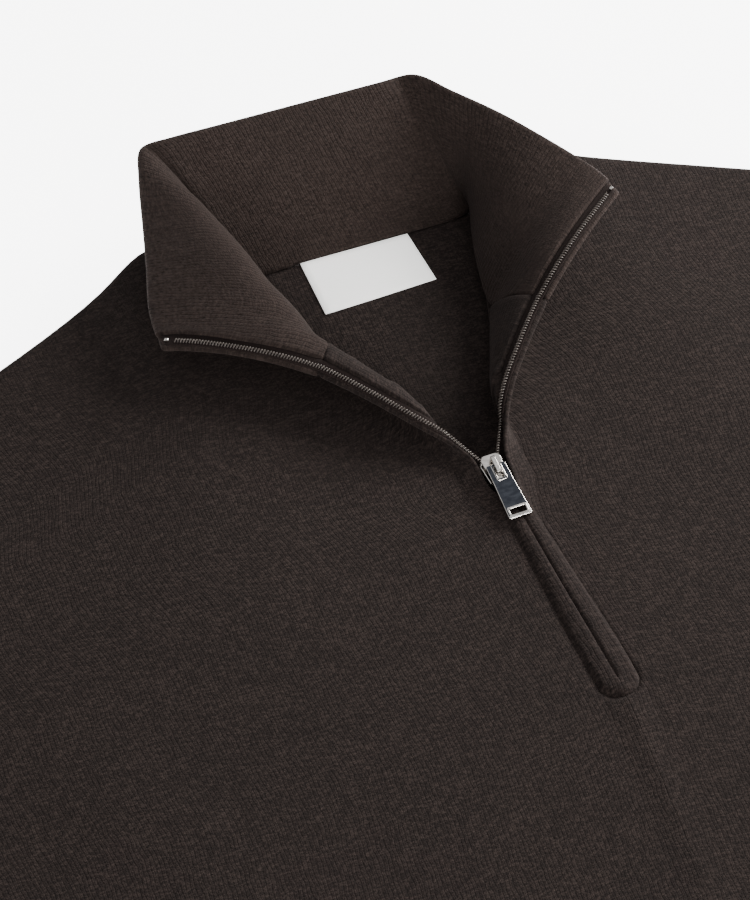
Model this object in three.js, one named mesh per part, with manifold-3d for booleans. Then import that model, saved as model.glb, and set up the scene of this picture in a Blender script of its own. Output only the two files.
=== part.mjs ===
// A quarter zip sweater laid flat on its back, its zip half open and its collar spread.
// Millimetres. +Y points to the neck, +Z up from the surface, +X to the wearer's left.
// While the pieces are worked out, X = 0, Y = 0 is the middle of the back neck seam.
import * as THREE from 'three';
import { mergeVertices } from 'three/addons/utils/BufferGeometryUtils.js';
import Module from 'manifold-3d';

const wasm = await Module();
wasm.setup();

// Driving sizes
const knit = 1.4;               // one layer of fine knit
const halfKnit = knit / 2;
const seamGap = 0.3;            // between two sewn pieces
const collarInner = 1.6;        // what the collar's inner layer adds over the outer one
const collarLift = 2.3;         // from the neckline to the middle of the collar's first row
const floorRow = halfKnit;      // height of the middle of a layer that lies on the surface
const topRow = 2.5;             // height of the middle of the front where it meets the back
const chestHalf = 275;
const hemTop = -606;
const hemHeight = 60;
const cuffHeight = 65;
const overArm = 592;            // shoulder end to cuff along the outside of the sleeve
const sleeveSlope = 48;         // degrees below level
const sleeveFull = 14;          // how far the sleeve's lower side bows out below the armhole
const armholeGap = 0.72;        // level, between the body and the sleeve at the armhole
const cuffWidth = 96;
const coil = 1.7;               // diameter of the zip's coil
const coilIn = 2.1;             // from the cloth's edge to the middle of the coil
const tapeFrom = 3.8;           // the tape's two edges, measured from the cloth's edge
const tapeTo = 6.1;
const tapeWall = 1.0;
const tapeGap = 0.35;           // from the cloth to the tape and the coil
const facingFrom = 6.5;         // where the turned-in layer starts
const facingFull = 7.1;
const label = { top: [[-24.5, -1.3], [24.5, -1.0]], foot: [[-23.5, -30.4], [27.5, -28.0]], wall: 1.0 };

// The zip's metal parts. slider: x across, y up the zip, from the slider's middle.
const slider = { at: [11, -137.5, 9.2], turn: 2.3, tilt: 9, top: 9.2, foot: 7.2, length: 12.5,
  plate: 1.1, mouth: 3.2, bridgeWide: 2.0, bridgeLow: -4.6, bridgeHigh: 3.6, bridgeTall: 4.2,
  bridgeWall: 1.2 };
const tab = { pivotUp: -0.6, pivotOver: 1.35, tilt: 7.2, length: 27, topWidth: 7.6, width: 10.3,
  wall: 1.5, eyeWide: 2.8, eyeLong: 6.4, eyeBar: 1.5, slotWide: 7.0, slotTall: 2.8, rim: 1.7 };
const stop = { wide: 2.2, long: 2.6, tall: 2.2 };

// The front panel, a row for each section from the hem up to the neck, wearer's left half.
// edge: the zip edge or the middle line; fold: the placket's side, then the bottom of the
// turned-out edge; roll: the point that the turned-out edge bends round, where it isn't flat.
const frontRows = {
  left: [
    { at: 'hem', edge: [0, hemTop, topRow], fold: [9, hemTop, topRow], side: [268, hemTop] },
    { at: 'waist', edge: [6, -470, 4.2], fold: [15, -470, 4.0] },
    { at: 'chest', edge: [13, -340, 5.4], fold: [22, -340, 4.9] },
    { at: 'slit_end', edge: [18.2, -252, 6.4], fold: [27.2, -252, 5.2] },
    { at: 'zip_low', edge: [16.7, -220, 6.8], fold: [25.4, -220, 5.4] },
    { at: 'zip_mid', edge: [14.8, -185, 7.2], fold: [23.4, -185, 5.6] },
    { at: 'zip_high', edge: [13.6, -160, 8.0], fold: [22, -160, 5.8] },
    { at: 'slider_low', edge: [17.0, -146, 9.4], fold: [26, -144, 6.0] },
    { at: 'slider_top', edge: [18.6, -130, 12.0], fold: [26, -128, 6.6] },
    { at: 'branch_low', edge: [30, -108, 20], roll: [25, -104, 19], fold: [24.6, -103, 7.6] },
    { at: 'branch_mid', edge: [45.5, -89.5, 27.5], roll: [36, -84, 26], fold: [32.5, -81, 8.4] },
    { at: 'neck', edge: [57.5, -76.5, 31.5], roll: [47, -63, 27], fold: [43.5, -55, 9.6] },
  ],
  right: [
    { at: 'hem', edge: [0, hemTop, topRow], fold: [-9, hemTop, topRow], side: [-268, hemTop] },
    { at: 'waist', edge: [6, -470, 4.2], fold: [-3, -470, 4.0] },
    { at: 'chest', edge: [13, -340, 5.4], fold: [4, -340, 4.9] },
    { at: 'slit_end', edge: [18.2, -252, 6.4], fold: [9, -252, 5.2] },
    { at: 'zip_low', edge: [15.9, -220, 6.8], fold: [7.2, -220, 5.4] },
    { at: 'zip_mid', edge: [14.0, -185, 7.2], fold: [5.4, -185, 5.6] },
    { at: 'zip_high', edge: [12.8, -160, 8.0], fold: [4, -160, 5.8] },
    { at: 'slider_low', edge: [5.4, -146, 9.4], fold: [-3.6, -143, 6.0] },
    { at: 'slider_top', edge: [3.4, -130, 12.0], fold: [-4.6, -126, 6.6] },
    { at: 'branch_low', edge: [-14, -110, 18.5], roll: [-9, -92, 24], fold: [-12.5, -99, 7.6] },
    { at: 'branch_mid', edge: [-30, -91, 22.5], roll: [-23.5, -72, 31], fold: [-25.5, -74, 8.4] },
    { at: 'neck', edge: [-43, -77, 25], roll: [-30, -64, 33], fold: [-36, -52, 9.6] },
  ],
};
// The side seam and armhole at the same rows, wearer's left half; the back shares them.
const sideRows = [[268, hemTop], [272, -470], [275, -345], [275, -276], [268, -250], [258, -224],
  [248, -196], [241, -166], [236.5, -136], [234, -106], [233.5, -76], [236, -40]];
const underarmRow = 3;
const twistFrom = 7;            // rows above this one stand closer, as the edge turns over
const bendFrom = 3;             // the row where the bend towards the shoulder line starts
const bendPower = 1.6;

// The neckline and shoulder line, wearer's left half, from the turned-out edge to the
// armhole. Heights are of the middle of the front; the back lies one layer lower.
const shoulderLine = {
  left: [[43.5, -55, 9.6], [47, -30, 9.2], [57, 3, 9.4], [76, 18, 11.5], [94, 22.5, 11],
    [114, 14.5, 8.4], [172, -10, 4.4], [236, -40, topRow]],
  right: [[-36, -52, 9.6], [-44, -28, 9.2], [-54, 0, 9.4], [-72, 21, 13], [-87, 24.5, 13.5],
    [-112, 10.5, 8.4], [-168, -14, 4.4], [-236, -40, topRow]],
};
const neckPoint = 2;            // the place in shoulderLine where collar, front and back meet
const backNeck = { left: [48, 0.5, 7.6], middle: [0, 0, 7.6], right: [-46, -1.5, 7.6] };

// The middle of the back panel at those rows, from the hem up to the neck seam.
const backMiddle = [[hemTop, floorRow], [-470, floorRow], [-345, floorRow], [-272, floorRow],
  [-235, floorRow], [-195, floorRow], [-160, 0.8], [-128, 1.2], [-95, 1.9], [-65, 2.9],
  [-32, 4.9], [0, 7.6]];

// The collar, a row for each section from the wearer's right zip end round the back to the
// left one. foot: on the neckline; roll: the point that the section bends round; top: the
// folded edge; pull: how tightly it bends.
const collarRows = [
  { at: 'zip_right', foot: [-43, -77, 25], roll: [-72, -55, 31], top: [-99, -40, 24.5], pull: 1 },
  { at: 'edge_right', foot: [-34.8, -64.3, 25.1], roll: [-54, -55, 37], top: [-98.5, -30, 25], pull: 1.1 },
  { at: 'lapel_right', foot: [-36, -52, 9.6], roll: [-41, -49, 43], top: [-97, -18, 27], pull: 1.4 },
  { at: 'roll_right', foot: [-44, -28, 9.2], roll: [-48, -26, 47], top: [-92.5, -3, 31], pull: 1.6 },
  { at: 'turn_right', foot: [-51, -8, 9.3], roll: [-55, 2, 50], top: [-87.5, 16, 36], pull: 1.6 },
  { at: 'fold_right', foot: [-54, 0, 9.4], roll: [-60, 16, 48], top: [-81.8, 38, 45], pull: 1.4 },
  { at: 'corner_right', foot: [-52, 0, 8.6], roll: [-62, 28, 38], top: [-77.4, 49.3, 49], pull: 1 },
  { at: 'back_right', foot: [-46, -1.5, 7.6], roll: [-53, 25, 31], top: [-65, 50.4, 49.2], pull: 0.8 },
  { at: 'back_half_right', foot: [-25, -0.6, 7.6], roll: [-34, 23, 33], top: [-42, 50.5, 49], pull: 0.8 },
  { at: 'back', foot: [0, 0, 7.6], roll: [-10, 23, 33], top: [-17, 50.5, 49], pull: 0.8 },
  { at: 'back_half_left', foot: [26, 0.2, 7.6], roll: [16, 23, 32], top: [10, 50.5, 49], pull: 0.8 },
  { at: 'back_left', foot: [48, 0.5, 7.6], roll: [38, 22, 27], top: [32, 50.5, 49], pull: 0.8 },
  { at: 'corner_left', foot: [54.5, 2, 8.4], roll: [46, 20, 26], top: [46.6, 49.6, 49.7], pull: 0.9 },
  { at: 'fold_left', foot: [57, 3, 9.4], roll: [54, 10, 27], top: [59, 34, 49.5], pull: 1 },
  { at: 'turn_left', foot: [52, -12, 9.2], roll: [56, -8, 30], top: [73, 16, 48.5], pull: 1 },
  { at: 'roll_left', foot: [47, -30, 9.2], roll: [56, -25, 33], top: [85, -1, 46.5], pull: 1 },
  { at: 'lapel_left', foot: [43.5, -55, 9.6], roll: [60, -42, 34], top: [96, -17, 44], pull: 1 },
  { at: 'edge_left', foot: [48.8, -64.4, 23.8], roll: [72, -52, 42], top: [102, -26.5, 42], pull: 0.9 },
  { at: 'zip_left', foot: [57.5, -76.5, 31.5], roll: [77, -60, 41], top: [106.5, -37, 40], pull: 0.9 },
];

const lastRow = sideRows.length - 1;
const degrees = Math.PI / 180;

const wool = new THREE.MeshStandardMaterial({ color: 0x33291f, roughness: 0.95, metalness: 0 });
const rib = new THREE.MeshStandardMaterial({ color: 0x2e251d, roughness: 0.95, metalness: 0 });
const satin = new THREE.MeshStandardMaterial({ color: 0xf0efea, roughness: 0.6, metalness: 0 });
const tapeCloth = new THREE.MeshStandardMaterial({ color: 0x1a1512, roughness: 0.85, metalness: 0 });
const coilPlastic = new THREE.MeshStandardMaterial({ color: 0x2a2320, roughness: 0.4, metalness: 0 });
const nickel = new THREE.MeshStandardMaterial({ color: 0xd8d6d2, roughness: 0.2, metalness: 1 });
const gunmetal = new THREE.MeshStandardMaterial({ color: 0x3a3b40, roughness: 0.25, metalness: 1 });

const garment = new THREE.Group();

// Points and curves

const point = (p) => (p.isVector3 ? p.clone() : new THREE.Vector3(p[0], p[1], p[2] ?? 0));

function curve(points) {
  const path = new THREE.CatmullRomCurve3(points.map(point), false, 'centripetal');
  return (t) => path.getPoint(THREE.MathUtils.clamp(t, 0, 1));
}

function spread(count) {
  return Array.from({ length: count + 1 }, (_, i) => i / count);
}

// A sheet is a grid of points with a way round it, and two depths at each point.
function sheet(across, along, place, depths) {
  const points = [];
  const below = [];
  const above = [];
  for (const v of along) {
    for (const u of across) {
      points.push(place(u, v));
      const [down, up] = depths(u, v);
      below.push(down);
      above.push(up);
    }
  }
  const faces = [];
  const width = across.length;
  for (let j = 0; j + 1 < along.length; j += 1) {
    for (let i = 0; i + 1 < width; i += 1) {
      const a = j * width + i;
      faces.push([a, a + 1, a + width + 1], [a, a + width + 1, a + width]);
    }
  }
  return { points, below, above, faces };
}

// Two sheets become one where their points coincide; flipped ones keep their upper side up.
function joined(sheets) {
  const whole = { points: [], below: [], above: [], faces: [] };
  const known = new Map();
  for (const part of sheets) {
    const index = part.points.map((p, i) => {
      const key = p.toArray().map((x) => Math.round(x * 1000)).join();
      if (!known.has(key)) {
        known.set(key, whole.points.length);
        whole.points.push(p);
        whole.below.push(part.below[i]);
        whole.above.push(part.above[i]);
      }
      return known.get(key);
    });
    for (const face of part.faces) {
      const corners = face.map((i) => index[i]);
      if (new Set(corners).size === 3) whole.faces.push(corners);
    }
  }
  return whole;
}

function flipped(part) {
  return { ...part, faces: part.faces.map(([a, b, c]) => [a, c, b]) };
}

function normals(part) {
  const sums = part.points.map(() => new THREE.Vector3());
  for (const [a, b, c] of part.faces) {
    const ab = part.points[b].clone().sub(part.points[a]);
    const ac = part.points[c].clone().sub(part.points[a]);
    const n = ab.cross(ac);
    for (const i of [a, b, c]) sums[i].add(n);
  }
  return sums.map((n) => n.normalize());
}

// The sheet thickened to a closed wall: both skins, and a strip along every open edge.
function wall(part) {
  const n = normals(part);
  const count = part.points.length;
  const lower = part.points.map((p, i) => p.clone().addScaledVector(n[i], -part.below[i]));
  const upper = part.points.map((p, i) => p.clone().addScaledVector(n[i], part.above[i]));
  const edges = new Set();
  for (const [a, b, c] of part.faces) {
    for (const [i, j] of [[a, b], [b, c], [c, a]]) edges.add(`${i},${j}`);
  }
  const faces = [];
  for (const [a, b, c] of part.faces) {
    faces.push([a + count, b + count, c + count], [a, c, b]);
    for (const [i, j] of [[a, b], [b, c], [c, a]]) {
      if (!edges.has(`${j},${i}`)) faces.push([i, j, j + count], [i, j + count, i + count]);
    }
  }
  return geometry([...lower, ...upper], faces);
}

function geometry(points, faces) {
  const shape = new THREE.BufferGeometry();
  const numbers = points.flatMap((p) => p.toArray());
  shape.setAttribute('position', new THREE.Float32BufferAttribute(numbers, 3));
  shape.setIndex(faces.flat());
  return shape;
}

function add(name, shape, material) {
  const mesh = new THREE.Mesh(shape, material);
  mesh.name = name;
  garment.add(mesh);
  return mesh;
}

function solid(shape) {
  const bare = shape.clone();
  bare.deleteAttribute('normal');
  bare.deleteAttribute('uv');
  const merged = mergeVertices(bare, 1e-4);
  const vertProperties = new Float32Array(merged.attributes.position.array);
  const triVerts = new Uint32Array(merged.index.array);
  return new wasm.Manifold(new wasm.Mesh({ numProp: 3, vertProperties, triVerts }));
}

function shapeOf(body) {
  const mesh = body.getMesh();
  const shape = new THREE.BufferGeometry();
  shape.setAttribute('position', new THREE.BufferAttribute(new Float32Array(mesh.vertProperties), 3));
  shape.setIndex(Array.from(mesh.triVerts));
  return shape;
}

// Front and back share their rows, with a half row more beside the slider and the open zip
const rowStops = [];
for (let i = 0; i <= lastRow; i += 1) {
  rowStops.push(i / lastRow);
  if (i >= underarmRow && i < lastRow) {
    const steps = i >= twistFrom ? 4 : 2;
    for (let k = 1; k < steps; k += 1) rowStops.push((i + k / steps) / lastRow);
  }
}
const sideLine = curve(sideRows);
const sideOf = (side, v, height) => {
  const p = sideLine(v);
  return new THREE.Vector3(side === 'left' ? p.x : -p.x, p.y, height);
};
const bend = (v) => Math.max(0, (v * lastRow - bendFrom) / (lastRow - bendFrom)) ** bendPower;

// The front: in each half a strip from the zip edge to the fold, then the panel to the side
function rollOf(row) {
  return row.roll ?? row.edge.map((x, i) => (x + row.fold[i]) / 2);
}

const edgeLine = { left: curve(frontRows.left.map((row) => row.edge)),
  right: curve(frontRows.right.map((row) => row.edge)) };
const foldLine = { left: curve(frontRows.left.map((row) => row.fold)),
  right: curve(frontRows.right.map((row) => row.fold)) };
const rollLine = { left: curve(frontRows.left.map(rollOf)), right: curve(frontRows.right.map(rollOf)) };
const shoulder = { left: curve(shoulderLine.left), right: curve(shoulderLine.right) };
const shoulderLast = shoulderLine.left.length - 1;
const openFrom = 7.5;
const openFull = 9.5;
const opened = (v) => THREE.MathUtils.smoothstep(v * lastRow, openFrom, openFull);

// The strip bends round its roll point; places on it are measured along the cloth.
function stripPlace(side, millimetres, v) {
  const bow = new THREE.QuadraticBezierCurve3(edgeLine[side](v), rollLine[side](v), foldLine[side](v));
  return bow.getPointAt(THREE.MathUtils.clamp(millimetres / bow.getLength(), 0, 1));
}

function panelPlace(side, u, v) {
  const straight = foldLine[side](v).lerp(sideOf(side, v, topRow), u);
  const cornerLine = foldLine[side](1).lerp(sideOf(side, 1, topRow), u);
  return straight.addScaledVector(shoulder[side](u).sub(cornerLine), bend(v));
}

const wholeStrip = 99;
const stripStops = [0, coilIn, tapeFrom, tapeTo, facingFrom, facingFull, wholeStrip];
const panelStops = [0, 0.5, 1, 1.5, 2, 2.5, 3, 4, 5, 6, 7].map((i) => i / shoulderLast);

function frontSheets(side) {
  const strip = sheet(stripStops, rowStops, (u, v) => stripPlace(side, u, v), (u, v) => {
    const turned = u === facingFull ? collarInner * opened(v) : 0;
    return [halfKnit + turned, halfKnit];
  });
  const panel = sheet(panelStops, rowStops, (u, v) => panelPlace(side, u, v),
    () => [halfKnit, halfKnit]);
  return side === 'left' ? [strip, panel] : [strip, panel].map(flipped);
}

add('front_body', wall(joined([...frontSheets('left'), ...frontSheets('right')])), wool);

// The back, whose top follows the neck seam and then the same shoulder line, one layer lower
const layerStep = topRow - floorRow;
const neckShare = neckPoint / shoulderLast;
const backCentre = curve(backMiddle.map(([y, z]) => [0, y, z]));

function backTop(side, u) {
  if (u > neckShare) {
    const p = shoulder[side](u);
    p.z -= layerStep;
    return p;
  }
  const end = point(shoulderLine[side][neckPoint]);
  end.z -= layerStep;
  return curve([backNeck.middle, backNeck[side], end])(u / neckShare);
}

function backPlace(side, u, v) {
  const straight = backCentre(v).lerp(sideOf(side, v, floorRow), u);
  const cornerLine = backCentre(1).lerp(sideOf(side, 1, floorRow), u);
  const shift = backTop(side, u).sub(cornerLine);
  straight.x += shift.x * bend(v);
  straight.y += shift.y * bend(v);
  straight.z += shift.z * bend(v) ** 2;
  return straight;
}

function backSheet(side) {
  const grid = sheet(panelStops, rowStops, (u, v) => backPlace(side, u, v),
    () => [halfKnit, halfKnit]);
  return side === 'left' ? grid : flipped(grid);
}

add('back_body', wall(joined([backSheet('left'), backSheet('right')])), wool);

// The collar: a conic section at each row, from its foot to its folded top edge

const collarFoot = curve(collarRows.map((row) => row.foot));
const collarRoll = curve(collarRows.map((row) => row.roll));
const collarTop = curve(collarRows.map((row) => row.top));
const collarPull = curve(collarRows.map((row) => [row.pull, 0, 0]));

function collarPlace(along, height) {
  const foot = collarFoot(along);
  const roll = collarRoll(along);
  const top = collarTop(along);
  foot.addScaledVector(roll.clone().sub(foot).normalize(), collarLift);
  const a = (1 - height) ** 2;
  const b = 2 * collarPull(along).x * height * (1 - height);
  const c = height ** 2;
  return foot.multiplyScalar(a).addScaledVector(roll, b).addScaledVector(top, c)
    .divideScalar(a + b + c);
}

const collarLast = collarRows.length - 1;

// The zip ends of the collar are measured in millimetres from the edge.
function collarInside(side, millimetres, height) {
  const end = side === 'right' ? 0 : 1;
  const next = side === 'right' ? 1 / collarLast : 1 - 1 / collarLast;
  const from = collarPlace(end, height);
  const stepTo = (share) => from.distanceTo(collarPlace(THREE.MathUtils.lerp(end, next, share), height));
  let share = millimetres / stepTo(1);
  for (let i = 0; i < 4 && share > 0; i += 1) share = Math.min((share * millimetres) / stepTo(share), 0.97);
  return THREE.MathUtils.lerp(end, next, share);
}

function collarColumn(u, height) {
  if (u < 1) return collarInside('right', u * 10, height);
  if (u > collarLast * 10 - 1) return collarInside('left', (collarLast * 10 - u) * 10, height);
  return u / (collarLast * 10);
}

const collarStops = [0, coilIn, tapeFrom, tapeTo, facingFrom, facingFull].map((mm) => mm / 10);
for (let i = 1; i < collarLast; i += 1) {
  collarStops.push(i * 10);
  if (i < collarLast - 1) collarStops.push(i * 10 + 5);
}
collarStops.push(...collarStops.slice(0, 6).reverse().map((u) => collarLast * 10 - u));

const collarHeights = [0, 0.12, 0.25, 0.4, 0.55, 0.7, 0.83, 0.925, 1];
const collarSheet = sheet(
  collarStops,
  collarHeights,
  (u, height) => collarPlace(collarColumn(u, height), height),
  (u) => {
    const single = u <= facingFrom / 10 || u >= collarLast * 10 - facingFrom / 10;
    return [halfKnit, single ? halfKnit : halfKnit + collarInner];
  },
);
add('collar', wall(collarSheet), wool);

// Sleeves, cuffs and hem are tubes laid flat: an upper layer, a fold, a lower layer, a fold
const foldRadius = (topRow - floorRow) / 2;

function flatTube(stations, rows, across, rise) {
  const last = stations.length - 1;
  const section = [
    ...stations.map((side) => ({ side, level: 1 })),
    { side: 1, level: 0.5 },
    ...[...stations].reverse().map((side) => ({ side, level: 0 })),
    { side: 0, level: 0.5 },
    { side: stations[0], level: 1 },
  ];
  return joined([sheet(section.map((_, i) => i), rows, (k, t) => {
    const { side, level } = section[k];
    const p = across(side, t);
    if (level === 0.5) {
      const inner = across(side === 1 ? stations[last - 1] : stations[1], t);
      p.add(p.clone().sub(inner).normalize().multiplyScalar(foldRadius));
    }
    const upper = topRow + rise(t) * Math.sin(Math.PI * side);
    p.z = THREE.MathUtils.lerp(floorRow, upper, level);
    return p;
  }, () => [halfKnit, halfKnit])]);
}

const slope = new THREE.Vector3(Math.cos(sleeveSlope * degrees), -Math.sin(sleeveSlope * degrees), 0);
const towardsBody = new THREE.Vector3(slope.y, -slope.x, 0);
const underarm = underarmRow / lastRow;
const sleeveEnd = sideOf('left', 1, 0).addScaledVector(slope, overArm);
const sleeveStations = rowStops.filter((v) => v >= underarm).reverse()
  .map((v) => (1 - v) / (1 - underarm));

function sleevePlace(side, t) {
  const start = sideOf('left', 1 - side * (1 - underarm), 0);
  start.x += armholeGap;
  const end = sleeveEnd.clone().addScaledVector(towardsBody, cuffWidth * side);
  return start.lerp(end, t)
    .addScaledVector(towardsBody, sleeveFull * side * Math.sin(Math.PI * t ** 0.75));
}

const cuffIn = 3;               // the cuff is this much narrower on each side
const cuffPlace = (side, t) => sleeveEnd.clone()
  .addScaledVector(towardsBody, cuffIn + (cuffWidth - 2 * cuffIn) * side)
  .addScaledVector(slope, seamGap + t * cuffHeight);

const hemHalf = sideRows[0][0] - cuffIn;
const hemPlace = (side, t) => new THREE.Vector3(
  -hemHalf + 2 * hemHalf * side, hemTop - seamGap - t * hemHeight, 0);

function mirrored(part) {
  return flipped({ ...part, points: part.points.map((p) => new THREE.Vector3(-p.x, p.y, p.z)) });
}

const sleeve = flatTube(sleeveStations, spread(8), sleevePlace, (t) => 4 * Math.sin(Math.PI * t));
const cuff = flatTube(spread(5), spread(2), cuffPlace, () => 0.6);
const hem = flatTube(spread(16), spread(2), hemPlace, () => 0);
add('sleeve_left', wall(sleeve), wool);
add('sleeve_right', wall(mirrored(sleeve)), wool);
add('cuff_left', wall(cuff), rib);
add('cuff_right', wall(mirrored(cuff)), rib);
add('hem_rib', wall(hem), rib);

// The zip lies on the inside of the front's edges and of the collar's ends
const nudge = 1e-3;
const stopHeight = 0.962;
const slitEnd = underarmRow / lastRow;
const coilFrom = 8.5 / lastRow;
const mouthIn = 2.9;            // from the slider's middle line to a coil's at its mouth

function inwards(place, mirroredSide, millimetres, t, depth) {
  const p = place(millimetres, t);
  const dAcross = place(millimetres + 0.2, t).sub(place(millimetres - 0.2, t));
  const dAlong = place(millimetres, Math.min(t + nudge, 1)).sub(place(millimetres, t - nudge));
  const n = dAcross.cross(dAlong).normalize().multiplyScalar(mirroredSide ? 1 : -1);
  return p.addScaledVector(n, depth);
}

function zipPlace(side, millimetres, t, depth) {
  if (t <= 1) {
    return inwards((mm, v) => stripPlace(side, mm, v), side === 'right', millimetres, t, depth);
  }
  return inwards((mm, h) => collarPlace(collarInside(side, mm, h), h), side === 'right',
    millimetres, t - 1, depth);
}

const collarZipRows = collarHeights.slice(1, -1).map((h) => 1 + h);
const tapeRows = [...rowStops.filter((v) => v > slitEnd), ...collarZipRows];
const coilRows = [...rowStops.filter((v) => v >= coilFrom), ...collarZipRows];

function tapeSheet(side) {
  const near = halfKnit + tapeGap;
  const depths = side === 'left' ? [near + tapeWall, -near] : [-near, near + tapeWall];
  return sheet([tapeFrom, tapeTo], tapeRows, (u, v) => zipPlace(side, u, v, 0), () => depths);
}

// A rod is a closed tube of eight sides through a row of points.
function rod(points, radius, upright) {
  const sides = 8;
  const skin = [];
  const last = points.length - 1;
  points.forEach((p, i) => {
    const along = points[Math.min(i + 1, last)].clone().sub(points[Math.max(i - 1, 0)]).normalize();
    const across = along.clone().cross(upright).normalize();
    const up = across.clone().cross(along).normalize();
    for (let k = 0; k < sides; k += 1) {
      const turn = (2 * Math.PI * k) / sides;
      skin.push(p.clone().addScaledVector(across, radius * Math.cos(turn))
        .addScaledVector(up, radius * Math.sin(turn)));
    }
  });
  const faces = [];
  for (let i = 0; i < last; i += 1) {
    for (let k = 0; k < sides; k += 1) {
      const a = i * sides + k;
      const b = i * sides + ((k + 1) % sides);
      faces.push([a, b + sides, b], [a, a + sides, b + sides]);
    }
  }
  for (let k = 1; k + 1 < sides; k += 1) {
    faces.push([0, k, k + 1], [last * sides, last * sides + k + 1, last * sides + k]);
  }
  return geometry(skin, faces);
}

const sliderTurn = new THREE.Euler(slider.tilt * degrees, 0, slider.turn * degrees, 'ZXY');
const sliderPoint = (x, y) => new THREE.Vector3(x, y, 0).applyEuler(sliderTurn).add(point(slider.at));

const up = new THREE.Vector3(0, 0, 1);
for (const side of ['left', 'right']) {
  add(`zip_tape_${side}`, wall(tapeSheet(side)), tapeCloth);
  const depth = halfKnit + tapeGap + coil / 2;
  const mouth = sliderPoint(side === 'left' ? mouthIn : -mouthIn, slider.length / 2 + seamGap);
  const path = [mouth, ...coilRows.map((t) => zipPlace(side, coilIn, t, depth))];
  add(`zip_coil_${side}`, rod(path, coil / 2, up), coilPlastic);
  const at = zipPlace(side, coilIn, 1 + stopHeight, halfKnit + 2 * seamGap + stop.tall / 2);
  const along = path[path.length - 1].clone().sub(path[path.length - 2]).normalize();
  const clamp = add(`top_stop_${side}`, new THREE.BoxGeometry(stop.wide, stop.long, stop.tall), nickel);
  const across = along.clone().cross(up).normalize();
  clamp.matrixAutoUpdate = false;
  clamp.matrix.makeBasis(across, along, across.clone().cross(along));
  clamp.matrix.setPosition(at);
}

// The label lies on the back panel, just under the neck seam
function backAt(x, y) {
  const side = x < 0 ? 'right' : 'left';
  let u = Math.abs(x) / chestHalf;
  let v = 1 + y / Math.abs(hemTop);
  for (let i = 0; i < 60; i += 1) {
    const p = backPlace(side, u, v);
    u = THREE.MathUtils.clamp(u + (Math.abs(x) - Math.abs(p.x)) / chestHalf, 0, 1);
    v = THREE.MathUtils.clamp(v + (y - p.y) / (2 * chestHalf), 0, 1);
  }
  return backPlace(side, u, v);
}

const labelSheet = sheet(spread(6), spread(4), (u, v) => {
  const foot = point(label.foot[0]).lerp(point(label.foot[1]), u);
  const place = foot.lerp(point(label.top[0]).lerp(point(label.top[1]), u), v);
  place.z = backAt(place.x, place.y).z + halfKnit + seamGap + label.wall / 2;
  return place;
}, () => [label.wall / 2, label.wall / 2]);
add('neck_label', wall(labelSheet), satin);

// The slider: two plates joined by a wedge between the coils, and a bridge for the tab
function plate(outline, thick, z) {
  const shape = new THREE.Shape(outline.map(([x, y]) => new THREE.Vector2(x, y)));
  const body = new THREE.ExtrudeGeometry(shape, { depth: thick, bevelEnabled: false });
  return body.translate(0, 0, z);
}

function sliderShape() {
  const half = slider.length / 2;
  const outline = [[-slider.top / 2 + 1.4, half], [-slider.top / 2, half - 1.8],
    [-slider.foot / 2, -half + 1], [-slider.foot / 2 + 1, -half], [slider.foot / 2 - 1, -half],
    [slider.foot / 2, -half + 1], [slider.top / 2, half - 1.8], [slider.top / 2 - 1.4, half]];
  const wedge = [[-1.3, half - 0.4], [0, 1], [1.3, half - 0.4]];
  const inside = slider.mouth / 2;
  const lower = solid(plate(outline, slider.plate, -inside - slider.plate));
  const upper = solid(plate(outline, slider.plate, inside));
  const middle = solid(plate(wedge, slider.mouth + slider.plate, -inside - slider.plate / 2));
  const { bridgeLow: low, bridgeHigh: high, bridgeTall: tall, bridgeWall: thick } = slider;
  const arch = [[low, 0], [low, tall - 1.2], [low + 1.2, tall], [high - 1.2, tall], [high, tall - 1.2],
    [high, 0], [high - thick, 0], [high - thick, tall - thick - 0.3], [high - thick - 0.3, tall - thick],
    [low + thick + 0.3, tall - thick], [low + thick, tall - thick - 0.3], [low + thick, 0]];
  const bridge = plate(arch, slider.bridgeWide, -slider.bridgeWide / 2);
  bridge.rotateX(Math.PI / 2).rotateZ(Math.PI / 2);
  bridge.translate(0, 0, inside + slider.plate / 2);
  return shapeOf(lower.add(upper).add(middle).add(solid(bridge)));
}

const sliderFrame = new THREE.Group();
sliderFrame.position.set(...slider.at);
sliderFrame.rotation.copy(sliderTurn);
garment.add(sliderFrame);
const sliderMesh = new THREE.Mesh(sliderShape(), nickel);
sliderMesh.name = 'slider';
sliderFrame.add(sliderMesh);

// The tab: a bar under the bridge, two cheeks, a long plate and a slot near its free end
function tabShape() {
  const neck = tab.eyeLong + 2;
  const end = -tab.length + tab.eyeBar / 2;
  const outline = [[-tab.topWidth / 2, tab.eyeBar / 2], [-tab.topWidth / 2, -neck],
    [-tab.width / 2, end + 0.8], [-tab.width / 2 + 0.8, end], [tab.width / 2 - 0.8, end],
    [tab.width / 2, end + 0.8], [tab.topWidth / 2, -neck], [tab.topWidth / 2, tab.eyeBar / 2]];
  const shape = new THREE.Shape(outline.map(([x, y]) => new THREE.Vector2(x, y)));
  const window = (wide, from, to) => new THREE.Path([[-wide / 2, from], [wide / 2, from],
    [wide / 2, to], [-wide / 2, to]].map(([x, y]) => new THREE.Vector2(x, y)));
  shape.holes.push(window(tab.eyeWide, -tab.eyeBar / 2, -tab.eyeLong));
  shape.holes.push(window(tab.slotWide, end + tab.rim + tab.slotTall, end + tab.rim));
  const body = new THREE.ExtrudeGeometry(shape, { depth: tab.wall, bevelEnabled: false });
  return body.translate(0, 0, -tab.wall / 2);
}

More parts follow.
